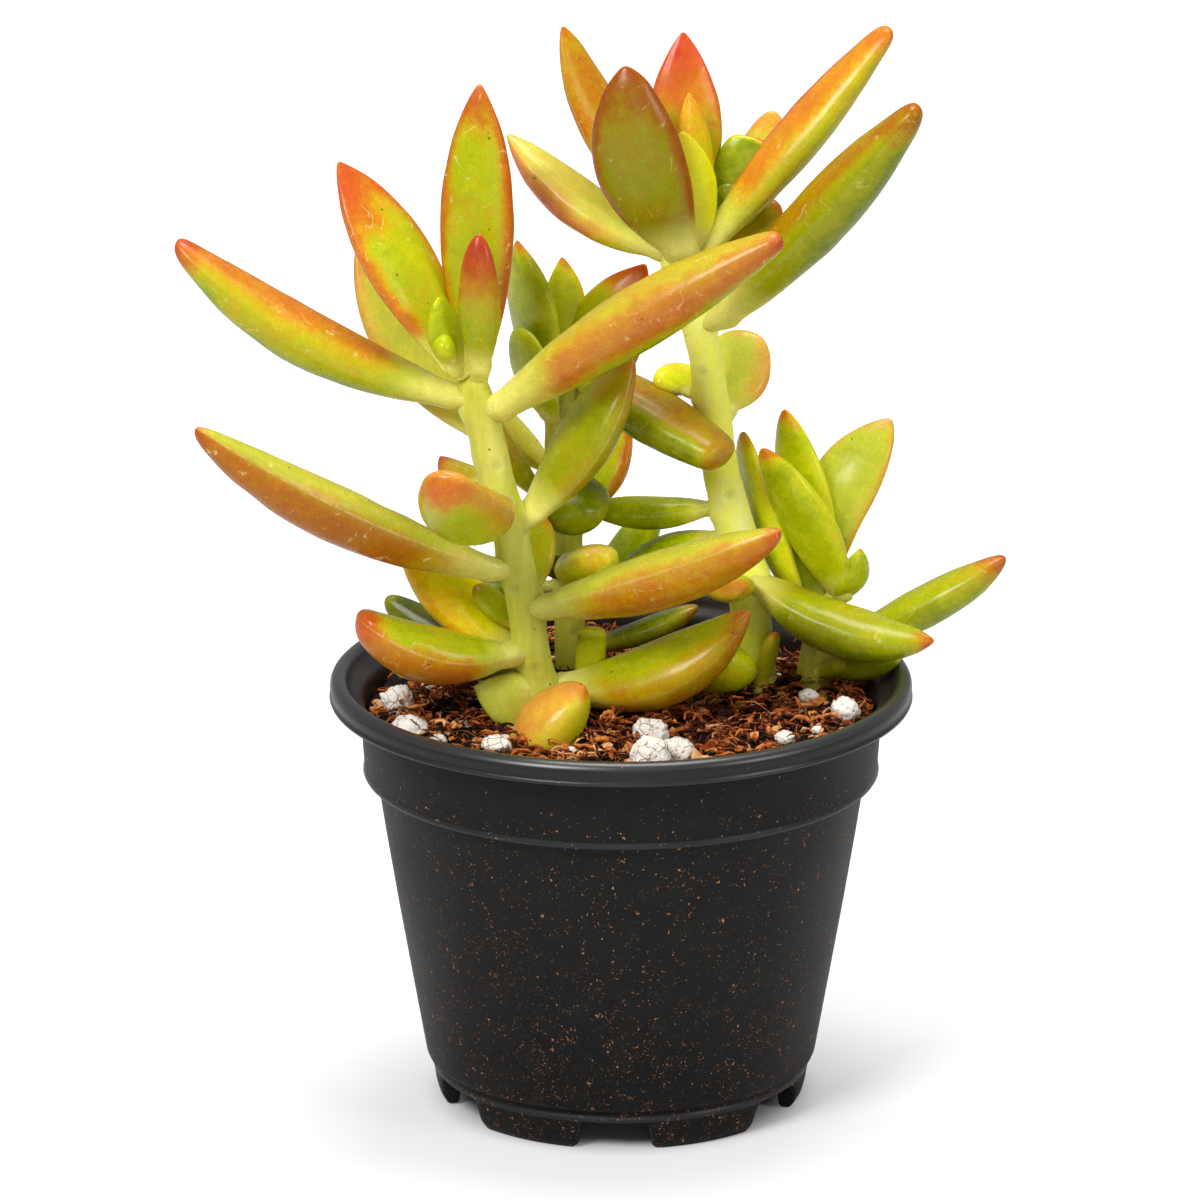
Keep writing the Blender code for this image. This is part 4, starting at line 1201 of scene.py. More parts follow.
# A lighter copy of the same finish: painted light for the right stem in the shade of its crown.
shaded_stem = stem_finish("shaded_stem_skin", 1.38)
SCARS = {"left": (Scar(72, 10), Scar(85, -20), Scar(93, 60), Scar(105, 15), Scar(78, 130), Scar(95, 200)),
         "middle": (Scar(70, 20), Scar(86, -30), Scar(99, 40), Scar(84, 180)),
         "right": (Scar(77, -15), Scar(95, 10), Scar(103, 30), Scar(116, -20), Scar(122, 150), Scar(90, 200)),
         "offshoot": (Scar(68, -30), Scar(70, 160))}
for name, scars in SCARS.items():
    stem = build_stem(name, scars, shaded_stem if name == "right" else pale_stem)
    print(stem.name, "has", len(stem.data.vertices), "points")


# %% [markdown]
# ## Young leaves, stubs and scraps
# Between the big leaves sit small things that give the plant its age: a bright new bud, inner leaves
# just opening, stubs left by broken leaves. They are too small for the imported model, so they are added
# here with the same leaf recipe, from a foot, a tip, a width and a thickness. Places are in millimetres
# from the axis of the pot.

# %% Small leaves from two points
SPRIG_ROOT = 1.5 * MM
Sprig = namedtuple("Sprig", "name foot tip width thick face look fullest blunt neck bow",
                   defaults=(0.5, 0.58, 0.5, 0.0))
SPRIGS = (
    Sprig("bud_left", (-25.2, -11.0, 120.6), (-27.8, -12.4, 132.0), 6.2, 4.4, (0.6, -0.8, 0.2),
          Look(0.27, 0.25, 0.27, 0.27, 0.46, 0.12, 0.5, 1.10, scuffs=0.0, crease=0.1, round=-0.2), bow=0.4),
    Sprig("bud_left_ball", (-25.8, -12.0, 122.6), (-27.4, -14.6, 126.0), 3.6, 3.4, (1, -0.3, 0.4),
          Look(0.34, 0.32, 0.34, 0.34, 0.34, 0.10, 0.5, 1.10, scuffs=0.0, crease=0.0), blunt=0.45),
    Sprig("young_leaf_right", (11.2, 2.6, 136.0), (9.2, 0.4, 154.6), 9.4, 3.6, (0.2, -1, 0.1),
          Look(0.34, 0.34, 0.36, 0.42, 0.50, 0.45, 1.0, 1.30, scuffs=0.1, crease=0.3, round=-0.4), bow=0.8),
    Sprig("cut_leaf_right", (16.4, 7.0, 137.6), (20.6, 8.4, 151.4), 10.0, 4.5, (0.1, -0.8, 0.5),
          Look(0.18, 0.18, 0.20, 0.22, 0.80, 0.07, 0.9, 1.00, scuffs=0.1, crease=0.4, rim=0.80), blunt=0.36),
    Sprig("inner_leaf_right", (14.6, 6.0, 133.6), (24.2, 9.0, 140.8), 8.0, 4.0, (-0.3, -0.8, 0.5),
          Look(0.46, 0.46, 0.70, 0.66, 0.70, 0.20, 0.7, 1.04)),
    Sprig("dark_leaf_right", (17.4, 5.5, 139.2), (15.7, 6.5, 144.6), 3.8, 2.6, (0, -1, 0.2),
          Look(0.22, 0.20, 0.22, 0.22, 0.30, 0.10, 0.5, 0.95, crease=0.0), blunt=0.45),
    Sprig("ragged_stub", (17.5, 6.0, 80.6), (15.8, -2.0, 82.8), 7.4, 5.0, (0, 0.2, 1),
          Look(0.34, 0.34, 0.40, 0.52, 0.62, 0.20, 0.6, 1.02, crease=0.1), blunt=0.30, neck=0.8),
    Sprig("wedge_stub", (21.4, 6.4, 63.6), (23.9, 3.8, 73.4), 3.7, 3.0, (0.8, -0.6, 0.2),
          Look(0.34, 0.32, 0.36, 0.40, 0.66, 0.16, 0.5, crease=0.4), blunt=0.50, neck=0.8),
    Sprig("offshoot_stub", (31.6, 10.0, 65.2), (35.2, 5.0, 68.8), 4.4, 3.6, (0, 0, 1),
          Look(0.38, 0.36, 0.40, 0.40, 0.50, 0.20, 0.7, 0.95, crease=0.1), blunt=0.35, neck=0.9),
    Sprig("low_leaf_offshoot", (33.5, 9.0, 66.0), (43.0, 3.0, 70.5), 7.0, 6.0, (0, 0, 1),
          Look(0.26, 0.20, 0.26, 0.30, 0.50, 0.12, 0.4, 0.96, crease=0.1)),
    Sprig("small_stub", (-5.2, -1.5, 62.0), (-4.4, -2.5, 76.2), 4.6, 4.4, (0, -1, 0.2),
          Look(0.36, 0.36, 0.36, 0.36, 0.40, 0.10, 0.5, 1.02, scuffs=0.2, crease=0.0), blunt=0.22, neck=0.95),
    Sprig("green_bit", (-16.2, -3.0, 77.2), (-22.6, -4.4, 83.4), 5.0, 3.4, (0.6, -0.5, 0.6),
          Look(0.32, 0.28, 0.34, 0.36, 0.46, 0.20, 0.4)),
    Sprig("cut_leaf", (30.5, 13.4, 74.6), (23.4, 12.0, 91.4), 6.4, 4.6, (0.5, -0.8, 0.2),
          Look(0.26, 0.18, 0.30, 0.36, 0.66, 0.10, 0.9, 0.9), fullest=0.6, blunt=0.34),
    Sprig("dark_leaf_middle", (-7.6, 14.6, 80.2), (-11.4, 8.8, 83.2), 6.0, 4.0, (0, -0.2, 1),
          Look(0.14, 0.10, 0.18, 0.20, 0.30, 0.10, 0.3, 0.8, crease=0.0)),
)
for sprig in SPRIGS:
    shape = small_leaf(sprig.foot, sprig.tip, sprig.width, sprig.thick, sprig.face, sprig.fullest,
                       sprig.blunt, sprig.neck, sprig.bow)
    finish = leaf_finish(sprig.name, sprig.look)
    build_leaf(sprig.name, shape, finish, sprig.look, shape.base - shape.along * SPRIG_ROOT)
print("small leaves and stubs:", [sprig.name for sprig in SPRIGS])


# %% [markdown]
# ## The potting mix
# The mix is chopped coir and peat: reddish-brown shreds and chips over dark hollows. One bumpy disc
# would look like mud. So the packed soil is replaced by a lumpy body that fills the pot, very dark as damp
# peat and as painted shade in the hollows, and the shreds and chips that give it its look are laid on top
# as real geometry, each with its own tone. Three noises make the body uneven, from broad swells to crumbs.
# Each is given below by the height and the size of its lumps in millimetres, and by a layer of the noise
# that is its own.

# %% Shape of the dark body
SOIL_AROUND = 128
SOIL_RINGS = 60
SOIL_WALL = ((26.5, 6.7), (28.1, 8.3), (36.0, 51.3), (38.0, 54.9), (38.7, 58.0))
SOIL_RADIUS = 39.3 * MM
SOIL_LEVEL = 62.6 * MM
SOIL_CROWN = 0.4
SOIL_SINK = 1.0
SOIL_LUMPS = ((1.2, 9.0, 0.0), (2.4, 3.6, 0.01), (0.8, 1.2, 0.02))


def soil_height(x, y):
    """Height of the mix at a place beside the axis of the pot, in metres."""
    radius = math.hypot(x, y) / SOIL_RADIUS
    coarse, lumps, crumbs = (height * noise.noise(Vector((x, y, layer)) / (size * MM))
                             for height, size, layer in SOIL_LUMPS)
    return SOIL_LEVEL + (SOIL_CROWN * (1 - radius ** 2) + coarse + lumps + crumbs - SOIL_SINK) * MM


def soil_points():
    """Rings up the wall of the pot, then rings inward over the mix, then the two closing points."""
    angles = np.linspace(0, 2 * math.pi, SOIL_AROUND, endpoint=False)
    points = []
    for radius, height in SOIL_WALL:
        points += [(POT_X + radius * MM * math.cos(a), POT_Y + radius * MM * math.sin(a), height * MM)
                   for a in angles]
    for ring in range(SOIL_RINGS):
        radius = SOIL_RADIUS * (1 - ring / SOIL_RINGS)
        for a in angles:
            x, y = radius * math.cos(a), radius * math.sin(a)
            points.append((POT_X + x, POT_Y + y, soil_height(x, y)))
    points.append((POT_X, POT_Y, SOIL_WALL[0][1] * MM))
    points.append((POT_X, POT_Y, soil_height(0.0, 0.0)))
    return points


print("the mix stands", round(soil_height(0.0, 0.0) / MM, 1), "mm high at the pot's axis")


# %% [markdown]
# Its colour is that of damp peat deep between the scraps, kept near the dark end of the ladder as painted
# shade in those hollows. The same ladder of browns, from dark and damp to dry and reddish, serves the
# scraps as well, so body and scraps belong together.

# %% The dark body of the mix
MIX_BROWNS = ((0.00, paint(12, 6, 4)), (0.28, paint(80, 34, 13)), (0.52, paint(168, 82, 32)),
              (0.78, paint(220, 134, 64)), (1.00, paint(244, 196, 138)))


def soil_finish():
    material, tree, shader, where = new_material("dark_mix")
    crumbs = clouds(tree, where, 900.0, detail=4.0, rough=0.6)
    # Nearly black to dark brown: damp peat, and painted shade in the hollows between the scraps.
    deep_and_shaded = fade(tree, crumbs, 0.45, 0.80, 0.0, 0.18)
    surface(tree, shader, ladder(tree, deep_and_shaded, *MIX_BROWNS), times(tree, crumbs, 0.2, 0.75), crumbs,
            strength=0.8, depth=0.4 * MM, Specular_IOR_Level=0.2)
    return material


soil_faces = skin_over(len(SOIL_WALL) + SOIL_RINGS, SOIL_AROUND)
soil_body = add_piece("mix_body", soil_points(), soil_faces, soil_finish(),
                      stands_for=("soil",))
print("mix body:", len(soil_body.data.polygons), "faces")


# %% [markdown]
# ## Shreds and chips
# A coir shred is a kinked, flattened strand, and a peat chip a rough crumb with flat sides. Hair particles
# could make thousands of strands, but they aren't a mesh that can be handed on. Rings of four corners and
# pairs of rings of five are enough here.

# %% One shred and one chip
STRAND_SIDES = 4
STRAND_STEPS = 7
CHIP_SIDES = 5


def strand(draw, place, turn, length, thick):
    """Points and faces of one kinked, tapering shred that starts at a place and heads a given way."""
    curl = draw.uniform(-3.2, 3.2)
    rise = draw.uniform(-0.2, 1.3)
    flat = draw.uniform(0.12, 0.5)
    tilt = draw.uniform(0, math.pi)
    spot = Vector(place)
    points = []
    for step in range(STRAND_STEPS):
        share = step / (STRAND_STEPS - 1)
        way = turn + curl * share + draw.uniform(-0.35, 0.35)
        heading = Vector((math.cos(way), math.sin(way), rise * (1 - 2.1 * share) + draw.uniform(-0.3, 0.3)))
        heading.normalize()
        side = heading.cross(Vector((0, 0, 1))).normalized()
        lift = side.cross(heading)
        wide = thick * (0.3 + 0.7 * math.sin(math.pi * (0.15 + 0.75 * share))) * draw.uniform(0.6, 1.3)
        for corner in range(STRAND_SIDES):
            angle = 2 * math.pi * corner / STRAND_SIDES
            out, up = wide * math.cos(angle), wide * flat * math.sin(angle)
            points.append(spot + side * (out * math.cos(tilt) - up * math.sin(tilt))
                          + lift * (out * math.sin(tilt) + up * math.cos(tilt)))
        spot = spot + heading * length / (STRAND_STEPS - 1)
    points.append(Vector(place))
    points.append(spot)
    return points, skin_over(STRAND_STEPS, STRAND_SIDES)


def chip(draw, place, size):
    """A rough, angular chip: two uneven rings of corners, tilted any way."""
    turn = (Matrix.Rotation(draw.uniform(0, 2 * math.pi), 3, "Z")
            @ Matrix.Rotation(draw.uniform(-1.2, 1.2), 3, "X"))
    stretch = (draw.uniform(0.6, 1.5), draw.uniform(0.4, 0.9), draw.uniform(0.2, 0.7))
    points = []
    for level in (-0.5, 0.5):
        for corner in range(CHIP_SIDES):
            angle = 2 * math.pi * corner / CHIP_SIDES + draw.uniform(-0.4, 0.4)
            reach = draw.uniform(0.45, 1.15)
            local = Vector((math.cos(angle) * reach, math.sin(angle) * reach, level * draw.uniform(0.5, 1.4)))
            local = Vector([part * scale for part, scale in zip(local, stretch)])
            points.append(Vector(place) + turn @ local * size)
    for pole in (-0.6, 0.6):
        points.append(Vector(place) + turn @ Vector((0, 0, pole * stretch[2])) * size)
    return points, skin_over(2, CHIP_SIDES)


print("a shred has", STRAND_STEPS * STRAND_SIDES + 2, "points, a chip", 2 * CHIP_SIDES + 2)


# %% [markdown]
# Chopped coir lies in tufts, so most shreds come in bunches that point roughly the same way. Thin single
# hairs and chips fill up between them. Each scrap keeps its own tone on its points, so one can be pale and
# dry and its neighbour dark. All scraps of a kind become one mesh, which takes a second or two.

# %% Ways to scatter scraps
MIX_ROOM = 38.7 * MM
MIX_EDGE = 39.5 * MM
TUFT_SPREAD = 1.0 * MM


def on_mix(x, y, lift):
    return (POT_X + x, POT_Y + y, soil_height(x, y) + lift * MM)


def one_chip(draw, x, y):
    """A chip, the paler the bigger, in a list of its own."""
    tone = draw.uniform(0.0, 1.0)
    place = on_mix(x, y, draw.uniform(-0.4, 0.7))
    points, faces = chip(draw, place, draw.uniform(0.3, 0.8 + 1.3 * tone) * MM)
    return [(points, faces, tone ** 1.3)]


def one_hair(draw, x, y):
    """A long thin strand."""
    place = on_mix(x, y, draw.uniform(0.2, 1.4))
    length, thick = draw.uniform(3.0, 9.0) * MM, draw.uniform(0.04, 0.10) * MM
    points, faces = strand(draw, place, draw.uniform(0, 2 * math.pi), length, thick)
    return [(points, faces, draw.uniform(0.35, 0.95))]


def one_tuft(draw, x, y):
    """A few shreds that lie roughly the same way, some of them on top of the others."""
    turn = draw.uniform(0, 2 * math.pi)
    tone = draw.uniform(0.16, 0.72)
    tuft = []
    for _ in range(draw.randint(7, 14)):
        across, back = draw.gauss(0, 1.0) * TUFT_SPREAD, draw.gauss(0, 1.0) * TUFT_SPREAD
        place = on_mix(x + across, y + back, draw.uniform(-0.2, 2.4))
        length, thick = draw.uniform(1.6, 5.4) * MM, draw.uniform(0.08, 0.50) * MM
        points, faces = strand(draw, place, turn + draw.gauss(0, 1.2), length, thick)
        tuft.append((points, faces, min(1.0, max(0.0, tone + draw.gauss(0, 0.20)))))
    return tuft


def spread(name, draw, count, make, finish, smooth):
    """Join many small scraps of the mix into one piece, each with its own tone."""
    points, faces, tones = [], [], []
    for _ in range(count):
        radius = MIX_ROOM * math.sqrt(draw.random())
        turn = draw.uniform(0, 2 * math.pi)
        for scrap, skin, tone in make(draw, radius * math.cos(turn), radius * math.sin(turn)):
            if max(math.hypot(p.x - POT_X, p.y - POT_Y) for p in scrap) < MIX_EDGE:
                first = len(points)
                points += scrap
                faces += [tuple(first + corner for corner in face) for face in skin]
                tones += [tone] * len(scrap)
    return add_piece(name, points, faces, finish, {"tone": tones}, smooth=smooth)


print("scraps lie up to", round(MIX_EDGE / MM, 1), "mm from the pot's axis")


# %% [markdown]
# One finish serves every scrap. It starts from the scrap's own tone and adds the streaks of its fibres,
# so a chip is never one flat colour. A material for each tone would do too, but would need dozens.

# %% Lay out the scraps
SCRAP_SEED = 11
SCRAP_KINDS = (("coir_tufts", 230, one_tuft, True), ("coir_hairs", 240, one_hair, True),
               ("peat_chips", 2300, one_chip, False))


def scrap_finish():
    material, tree, shader, where = new_material("coir_scraps")
    fibres = clouds(tree, where, 1600.0, rough=0.6)
    tone = sum_of(tree, "ADD", noted(tree, "tone"), times(tree, fibres, 0.7, -0.35))
    surface(tree, shader, ladder(tree, tone, *MIX_BROWNS), times(tree, fibres, 0.25, 0.50), fibres,
            strength=0.6, depth=0.2 * MM, Specular_IOR_Level=0.2)
    return material


draw = random.Random(SCRAP_SEED)
scrap_skin = scrap_finish()
for name, count, make, smooth in SCRAP_KINDS:
    scraps = spread(name, draw, count, make, scrap_skin, smooth)
    print(name, len(scraps.data.polygons), "faces")


# %% [markdown]
# ## Perlite
# Perlite is volcanic glass puffed up like popcorn: white, light grains with open pores, fine cracks and
# brown dust in them. A white ball with a bump texture would show a round outline, so the holes have to be
# in the shape too. The finish adds what is finer than the mesh.

# %% Perlite finish
PORE_BROWN = paint(130, 92, 60)
CRACK_BROWN = paint(136, 92, 58)


def perlite_finish():
    material, tree, shader, where = new_material("perlite_white")
    pores = add(tree, "TexVoronoi", [("Vector", where), ("Scale", 1100.0)]).outputs["Distance"]
    dust = clouds(tree, where, 500.0, detail=4.0, rough=0.6)
    colour = ladder(tree, dust, (0.32, paint(252, 249, 242)), (0.62, paint(240, 231, 216)),
                    (0.76, paint(180, 142, 104)))
    cells = add(tree, "TexVoronoi", [("Vector", where), ("Scale", 620.0)], feature="DISTANCE_TO_EDGE")
    crack = fade(tree, cells.outputs["Distance"], 0.01, 0.05, 1.0, 0.0)
    crack = times(tree, crack, fade(tree, clouds(tree, where, 330.0), 0.48, 0.60))
    colour = blend(tree, times(tree, crack, 0.8), colour, CRACK_BROWN)
    colour = blend(tree, fade(tree, pores, 0.02, 0.16, 0.70, 0.0), colour, PORE_BROWN)
    height = sum_of(tree, "ADD", fade(tree, pores, 0.0, 0.35), times(tree, dust, 0.6))
    surface(tree, shader, colour, times(tree, dust, 0.2, 0.70), times(tree, crack, -0.6, height),
            strength=0.7, depth=0.35 * MM, Specular_IOR_Level=0.3)
    return material


perlite_white = perlite_finish()
print("perlite finish:", perlite_white.name)


# %% [markdown]
# Each grain starts as a ball of triangles, but is cut flat in a few places, knocked out of round with
# soft noise and pitted with pores, so no two are alike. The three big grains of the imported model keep
# their places. The others lie where a handful of perlite could have fallen: each row below has a place
# beside the axis of the pot and a radius, in millimetres.

# %% Perlite grains
FLAT_CUTS = 12
GRAIN_SWELL = 1.08
SMALL_GRAIN = 2
GRAINS = ((-32.5, -13.6, 3.0), (-28.2, -17.7, 1.5), (-19.1, -23.8, 2.4), (-18.0, -15.2, 1.3),
          (4.5, -16.2, 3.0), (8.6, -25.2, 2.7), (0.2, -31.4, 1.3), (19.7, -27.4, 1.3),
          (25.1, -18.2, 1.7), (-24.0, -8.0, 1.3), (29.0, 2.0, 1.6), (-10.0, -33.0, 0.9),
          (14.0, -33.5, 0.8), (-6.0, 30.0, 2.2), (18.0, 28.0, 1.7), (-26.0, 22.0, 1.9),
          (2.0, 8.0, 1.5), (33.0, 16.0, 1.3), (-30.0, 10.0, 1.1), (-15.0, 12.0, 1.4),
          (8.0, 35.0, 1.2), (25.0, 20.0, 0.9), (-8.0, -22.0, 1.1), (-2.0, -12.0, 1.0), (30.0, -14.0, 0.9))


def grain_reach(way, cuts, own):
    """How far a grain reaches in a direction: a ball, cut flat, lumpy and pitted."""
    reach = min([1.0] + [far / way.dot(facing) for facing, far in cuts if way.dot(facing) > 0.3])
    reach *= 1 + 0.10 * noise.noise(way * 2.2 + own)
    reach += 0.20 * abs(noise.noise(way * 3.0 + own)) + 0.10 * abs(noise.noise(way * 6.5 - own)) - 0.08
    return reach - 0.30 * max(0.0, noise.noise(way * 4.4 - own) - 0.30)


def build_grain(name, middle, size, fineness=4, stands_for=()):
    """A grain around a middle, with half its width, depth and height."""
    draw = random.Random(name)
    cuts = [(Vector((draw.gauss(0, 1), draw.gauss(0, 1), draw.gauss(0, 1))).normalized(),
             draw.uniform(0.76, 1.0)) for _ in range(FLAT_CUTS)]
    own = Vector((draw.random(), draw.random(), draw.random())) * 50
    ball = bmesh.new()
    bmesh.ops.create_icosphere(ball, subdivisions=fineness, radius=1.0)
    ways = [corner.co.normalized() for corner in ball.verts]
    reaches = [way * grain_reach(way, cuts, own) for way in ways]
    points = [Vector(middle) + Vector([part * half for part, half in zip(reach, size)]) for reach in reaches]
    faces = [tuple(corner.index for corner in face.verts) for face in ball.faces]
    ball.free()
    return add_piece(name, points, faces, perlite_white, stands_for=stands_for)


packed_grains = sorted(name for name in frame["nodes"] if name.startswith("perlite_"))
for node in packed_grains:
    grain_low, grain_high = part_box(node)
    half = (grain_high - grain_low) / 2
    build_grain("fine_" + node, (grain_low + grain_high) / 2, half * GRAIN_SWELL, stands_for=(node,))
for number, (x, y, radius) in enumerate(GRAINS, 1):
    level = soil_height(x * MM, y * MM) + 0.75 * radius * MM
    half = Vector((1.0, 0.85 + 0.1 * math.sin(number), 0.75 + 0.1 * math.cos(number))) * radius * MM
    fineness = 3 if radius < SMALL_GRAIN else 4
    build_grain(f"perlite_{number:02d}", (POT_X + x * MM, POT_Y + y * MM, level), half, fineness)
print("perlite grains:", len(packed_grains) + len(GRAINS))


# %% [markdown]
# ## The nursery pot
# The pot is thin moulded plastic: a tapering body on a ring of six feet, a recessed band over the feet, a
# collar that starts with a small step, and a broad rolled rim. It is turned from one profile, as on a
# lathe. A screwed or spun curve would do that too, but pairs of radius and height, here in millimetres,
# say plainly where each step is. They go under the feet, up the outside and down the inside.

# %% Profile of the pot
UNDER_PROFILE = ((25.5, 5.0), (26.3, 5.0), (26.2, 2.5), (26.0, 0.3), (26.2, 0.0))
FEET_PROFILE = ((27.35, 0.0), (27.75, 0.3), (28.3, 1.2), (28.7, 2.6), (29.0, 4.4), (29.15, 5.1), (29.2, 5.5),
                (28.95, 5.75), (28.95, 6.35), (29.35, 6.65), (29.9, 6.9), (30.2, 7.6))
BODY_PROFILE = ((32.4, 20.0), (34.5, 32.0), (36.4, 43.5), (37.6, 51.3), (37.7, 51.9), (37.7, 52.3))
COLLAR_PROFILE = ((38.3, 52.4), (39.2, 52.45), (39.65, 52.6), (39.85, 52.9), (39.8, 53.3), (39.65, 53.6),
                  (39.65, 54.0), (39.95, 58.0), (40.3, 63.2), (40.4, 64.0))
RIM_PROFILE = ((40.7, 64.3), (42.0, 64.35), (44.6, 64.35), (44.9, 64.45), (45.0, 64.7), (44.9, 64.95),
               (44.75, 65.15), (44.8, 65.8), (44.9, 66.4), (44.85, 66.9), (44.65, 67.35), (44.3, 67.7),
               (43.85, 67.92), (43.35, 68.0), (42.9, 67.9), (42.55, 67.65))
INSIDE_PROFILE = ((42.3, 67.2), (42.1, 66.5), (41.5, 65.9), (40.6, 65.3), (40.05, 64.8), (39.8, 64.2),
                  (39.6, 62.5), (39.0, 58.0), (38.6, 54.9), (37.6, 53.9), (36.6, 51.6), (33.0, 31.5),
                  (28.7, 8.0), (27.1, 6.4), (25.5, 6.4))
OUTSIDE_PROFILE = UNDER_PROFILE + FEET_PROFILE + BODY_PROFILE + COLLAR_PROFILE + RIM_PROFILE
WALL_PROFILE = OUTSIDE_PROFILE + INSIDE_PROFILE
print("rings in the pot's wall:", len(WALL_PROFILE))


# %% [markdown]
# The gaps between the feet aren't cut with a boolean, which would leave long thin triangles. The lathe's
# spokes stand closer together at the sloping edges of each gap instead, and the lowest rings are pushed up
# between them. The spoke at the lower end of each slope is raised only a little, which takes the sharpness
# off the corner of the foot.

# %% Spokes of the pot
FEET = 6
FIRST_GAP = math.radians(-92.0)
GAP_TOP = 4.95 * MM
GAP_BOTTOM = 5.9 * MM
GAP_HEIGHT = 4.4 * MM
GAP_SPOKES = 9
CORNER_RISE = 0.45 * MM
JUST_BEYOND = 1.001
SPOKE_SLACK = 0.01 * MM
FOOT_SPOKES = 22
FOOT_RADIUS = 27.6 * MM
FOOT_TOP = 5.0 * MM


def pot_spokes():
    """Angles of the spokes, close together at the sloping edges of each gap between two feet."""
    narrow, wide = GAP_TOP / FOOT_RADIUS, GAP_BOTTOM / FOOT_RADIUS
    rest = 2 * math.pi / FEET - 2 * wide
    angles = []
    for foot in range(FEET):
        middle = FIRST_GAP + foot * 2 * math.pi / FEET
        angles += [middle + share * narrow for share in np.linspace(-1, 1, GAP_SPOKES)]
        angles += [middle + wide * JUST_BEYOND]
        angles += [middle + wide + rest * share for share in np.linspace(0, 1, FOOT_SPOKES)[1:-1]]
        angles += [middle - wide * JUST_BEYOND + 2 * math.pi / FEET]
    return angles


def gap_rise(angle):
    """How far the lower edge is raised at an angle: the gap's height inside it, nothing under a foot."""
    apart = abs((angle - FIRST_GAP + math.pi / FEET) % (2 * math.pi / FEET) - math.pi / FEET) * FOOT_RADIUS
    if apart < GAP_TOP + SPOKE_SLACK:
        return GAP_HEIGHT
    return CORNER_RISE if apart < GAP_BOTTOM + SPOKE_SLACK else 0.0


def turned_points(profile, spokes):
    """Points of a turned wall, ring by ring, with everything below the feet's top pushed up in the gaps."""
    points = []
    for radius, height in profile:
        for spoke in spokes:
            rise = gap_rise(spoke)
            level = height * MM
            if level < FOOT_TOP:
                level = rise + level * (FOOT_TOP - rise) / FOOT_TOP
            x, y = radius * MM * math.cos(spoke), radius * MM * math.sin(spoke)
            points.append((POT_X + x, POT_Y + y, level))
    return points


spokes = pot_spokes()
print("spokes around the pot:", len(spokes))


# %% [markdown]
# Black nursery plastic is satin, never quite black, and dusty: rust-brown specks of coir stick to it, more
# of them near the foot. A noise would give soft blotches. The specks come from the middles of Voronoi
# cells instead, where a chosen share of the cells holds a speck of a random size. The same group makes the
# fine and the coarse ones, and a noise pulls the place that it reads, so their outlines are torn.

# %% Specks of stuck dust
CROWDED_BELOW = 35 * MM
RARE_RANGE = (50 * MM, 64 * MM)
TORN_BY = 0.90 * MM


def make_pot_dust():
    """Specks in a chosen share of the cells: 1 on a speck and 0 between them."""
    inputs = [("Where", "Vector", None), ("Scale", "Float", 500.0), ("Share", "Float", 0.2)]
    group, have, give = new_group("Stuck dust", inputs, ["Dust"])
    cells = add(group, "TexVoronoi", [("Vector", have["Where"]), ("Scale", have["Scale"])])
    own = add(group, "SeparateColor", [("Color", cells.outputs["Color"])])
    chosen = sum_of(group, "LESS_THAN", own.outputs["Red"], have["Share"])
    size = times(group, own.outputs["Green"], 0.26, 0.08)
    near = sum_of(group, "SUBTRACT", size, cells.outputs["Distance"])
    feed(group, give["Dust"], times(group, fade(group, near, 0.0, 0.05), chosen))
    return group


def pot_specks(tree, where, height):
    """Fine and coarse specks, crowded near the foot and rare under the rim."""
    crowd = fade(tree, height, 0.0, CROWDED_BELOW, 1.0, 0.45)
    crowd = times(tree, crowd, fade(tree, height, *RARE_RANGE, 1.0, 0.04))
    patches = clouds(tree, where, 430.0, detail=2.0)
    crowd = times(tree, crowd, fade(tree, patches, 0.40, 0.62, 0.25, 1.3))
    ragged = add(tree, "TexNoise", [("Vector", where), ("Scale", 2400.0)]).outputs["Color"]
    pull = add(tree, "VectorMath", [(0, ragged), ("Scale", TORN_BY)], operation="SCALE").outputs[0]
    torn = add(tree, "VectorMath", [(0, where), (1, pull)], operation="ADD").outputs[0]
    fine = place_group(tree, stuck_dust, Where=torn, Scale=2600.0, Share=crowd)["Dust"]
    coarse = place_group(tree, stuck_dust, Where=torn, Scale=1300.0, Share=times(tree, crowd, 0.34))["Dust"]
    return fine, coarse


stuck_dust = make_pot_dust()
print("dust group:", stuck_dust.name, "with", len(stuck_dust.nodes), "nodes")


# %% [markdown]
# The rim is lighter grey than the body: partly rubbed, partly a painted sheen where it catches the light.
# Thin lines at the sharp edges are painted lighter still, as painted highlights, and they also get a
# glossy coat. These marks could follow the mesh's own curvature, but a height on the profile is steadier.
# The inner wall is brownish grey with dry dust, so the pot keeps on its points whether they face inward.

# %% Pot finish
RIM_FOOT = 63.4 * MM
RIM_BLEND = 1.0 * MM
RIM_TOP = (66.7 * MM, 67.2 * MM)
PAINTED_HIGHLIGHT_HEIGHTS = (5.3 * MM, 53.2 * MM, 64.75 * MM)
EDGE_REACH = (0.30 * MM, 0.60 * MM)
PLASTIC_BLACKS = ((0.3, paint(14, 14, 14)), (0.7, paint(20, 20, 19)))
RUBBED_AND_SHEEN_GREY = paint(32, 32, 33)
PAINTED_HIGHLIGHT_GREY = paint(38, 38, 39)
DUST_GREY = paint(70, 60, 52)
SPECK_BROWNS = ((0.38, paint(98, 58, 35)), (0.52, paint(148, 92, 56)), (0.66, paint(196, 138, 92)))


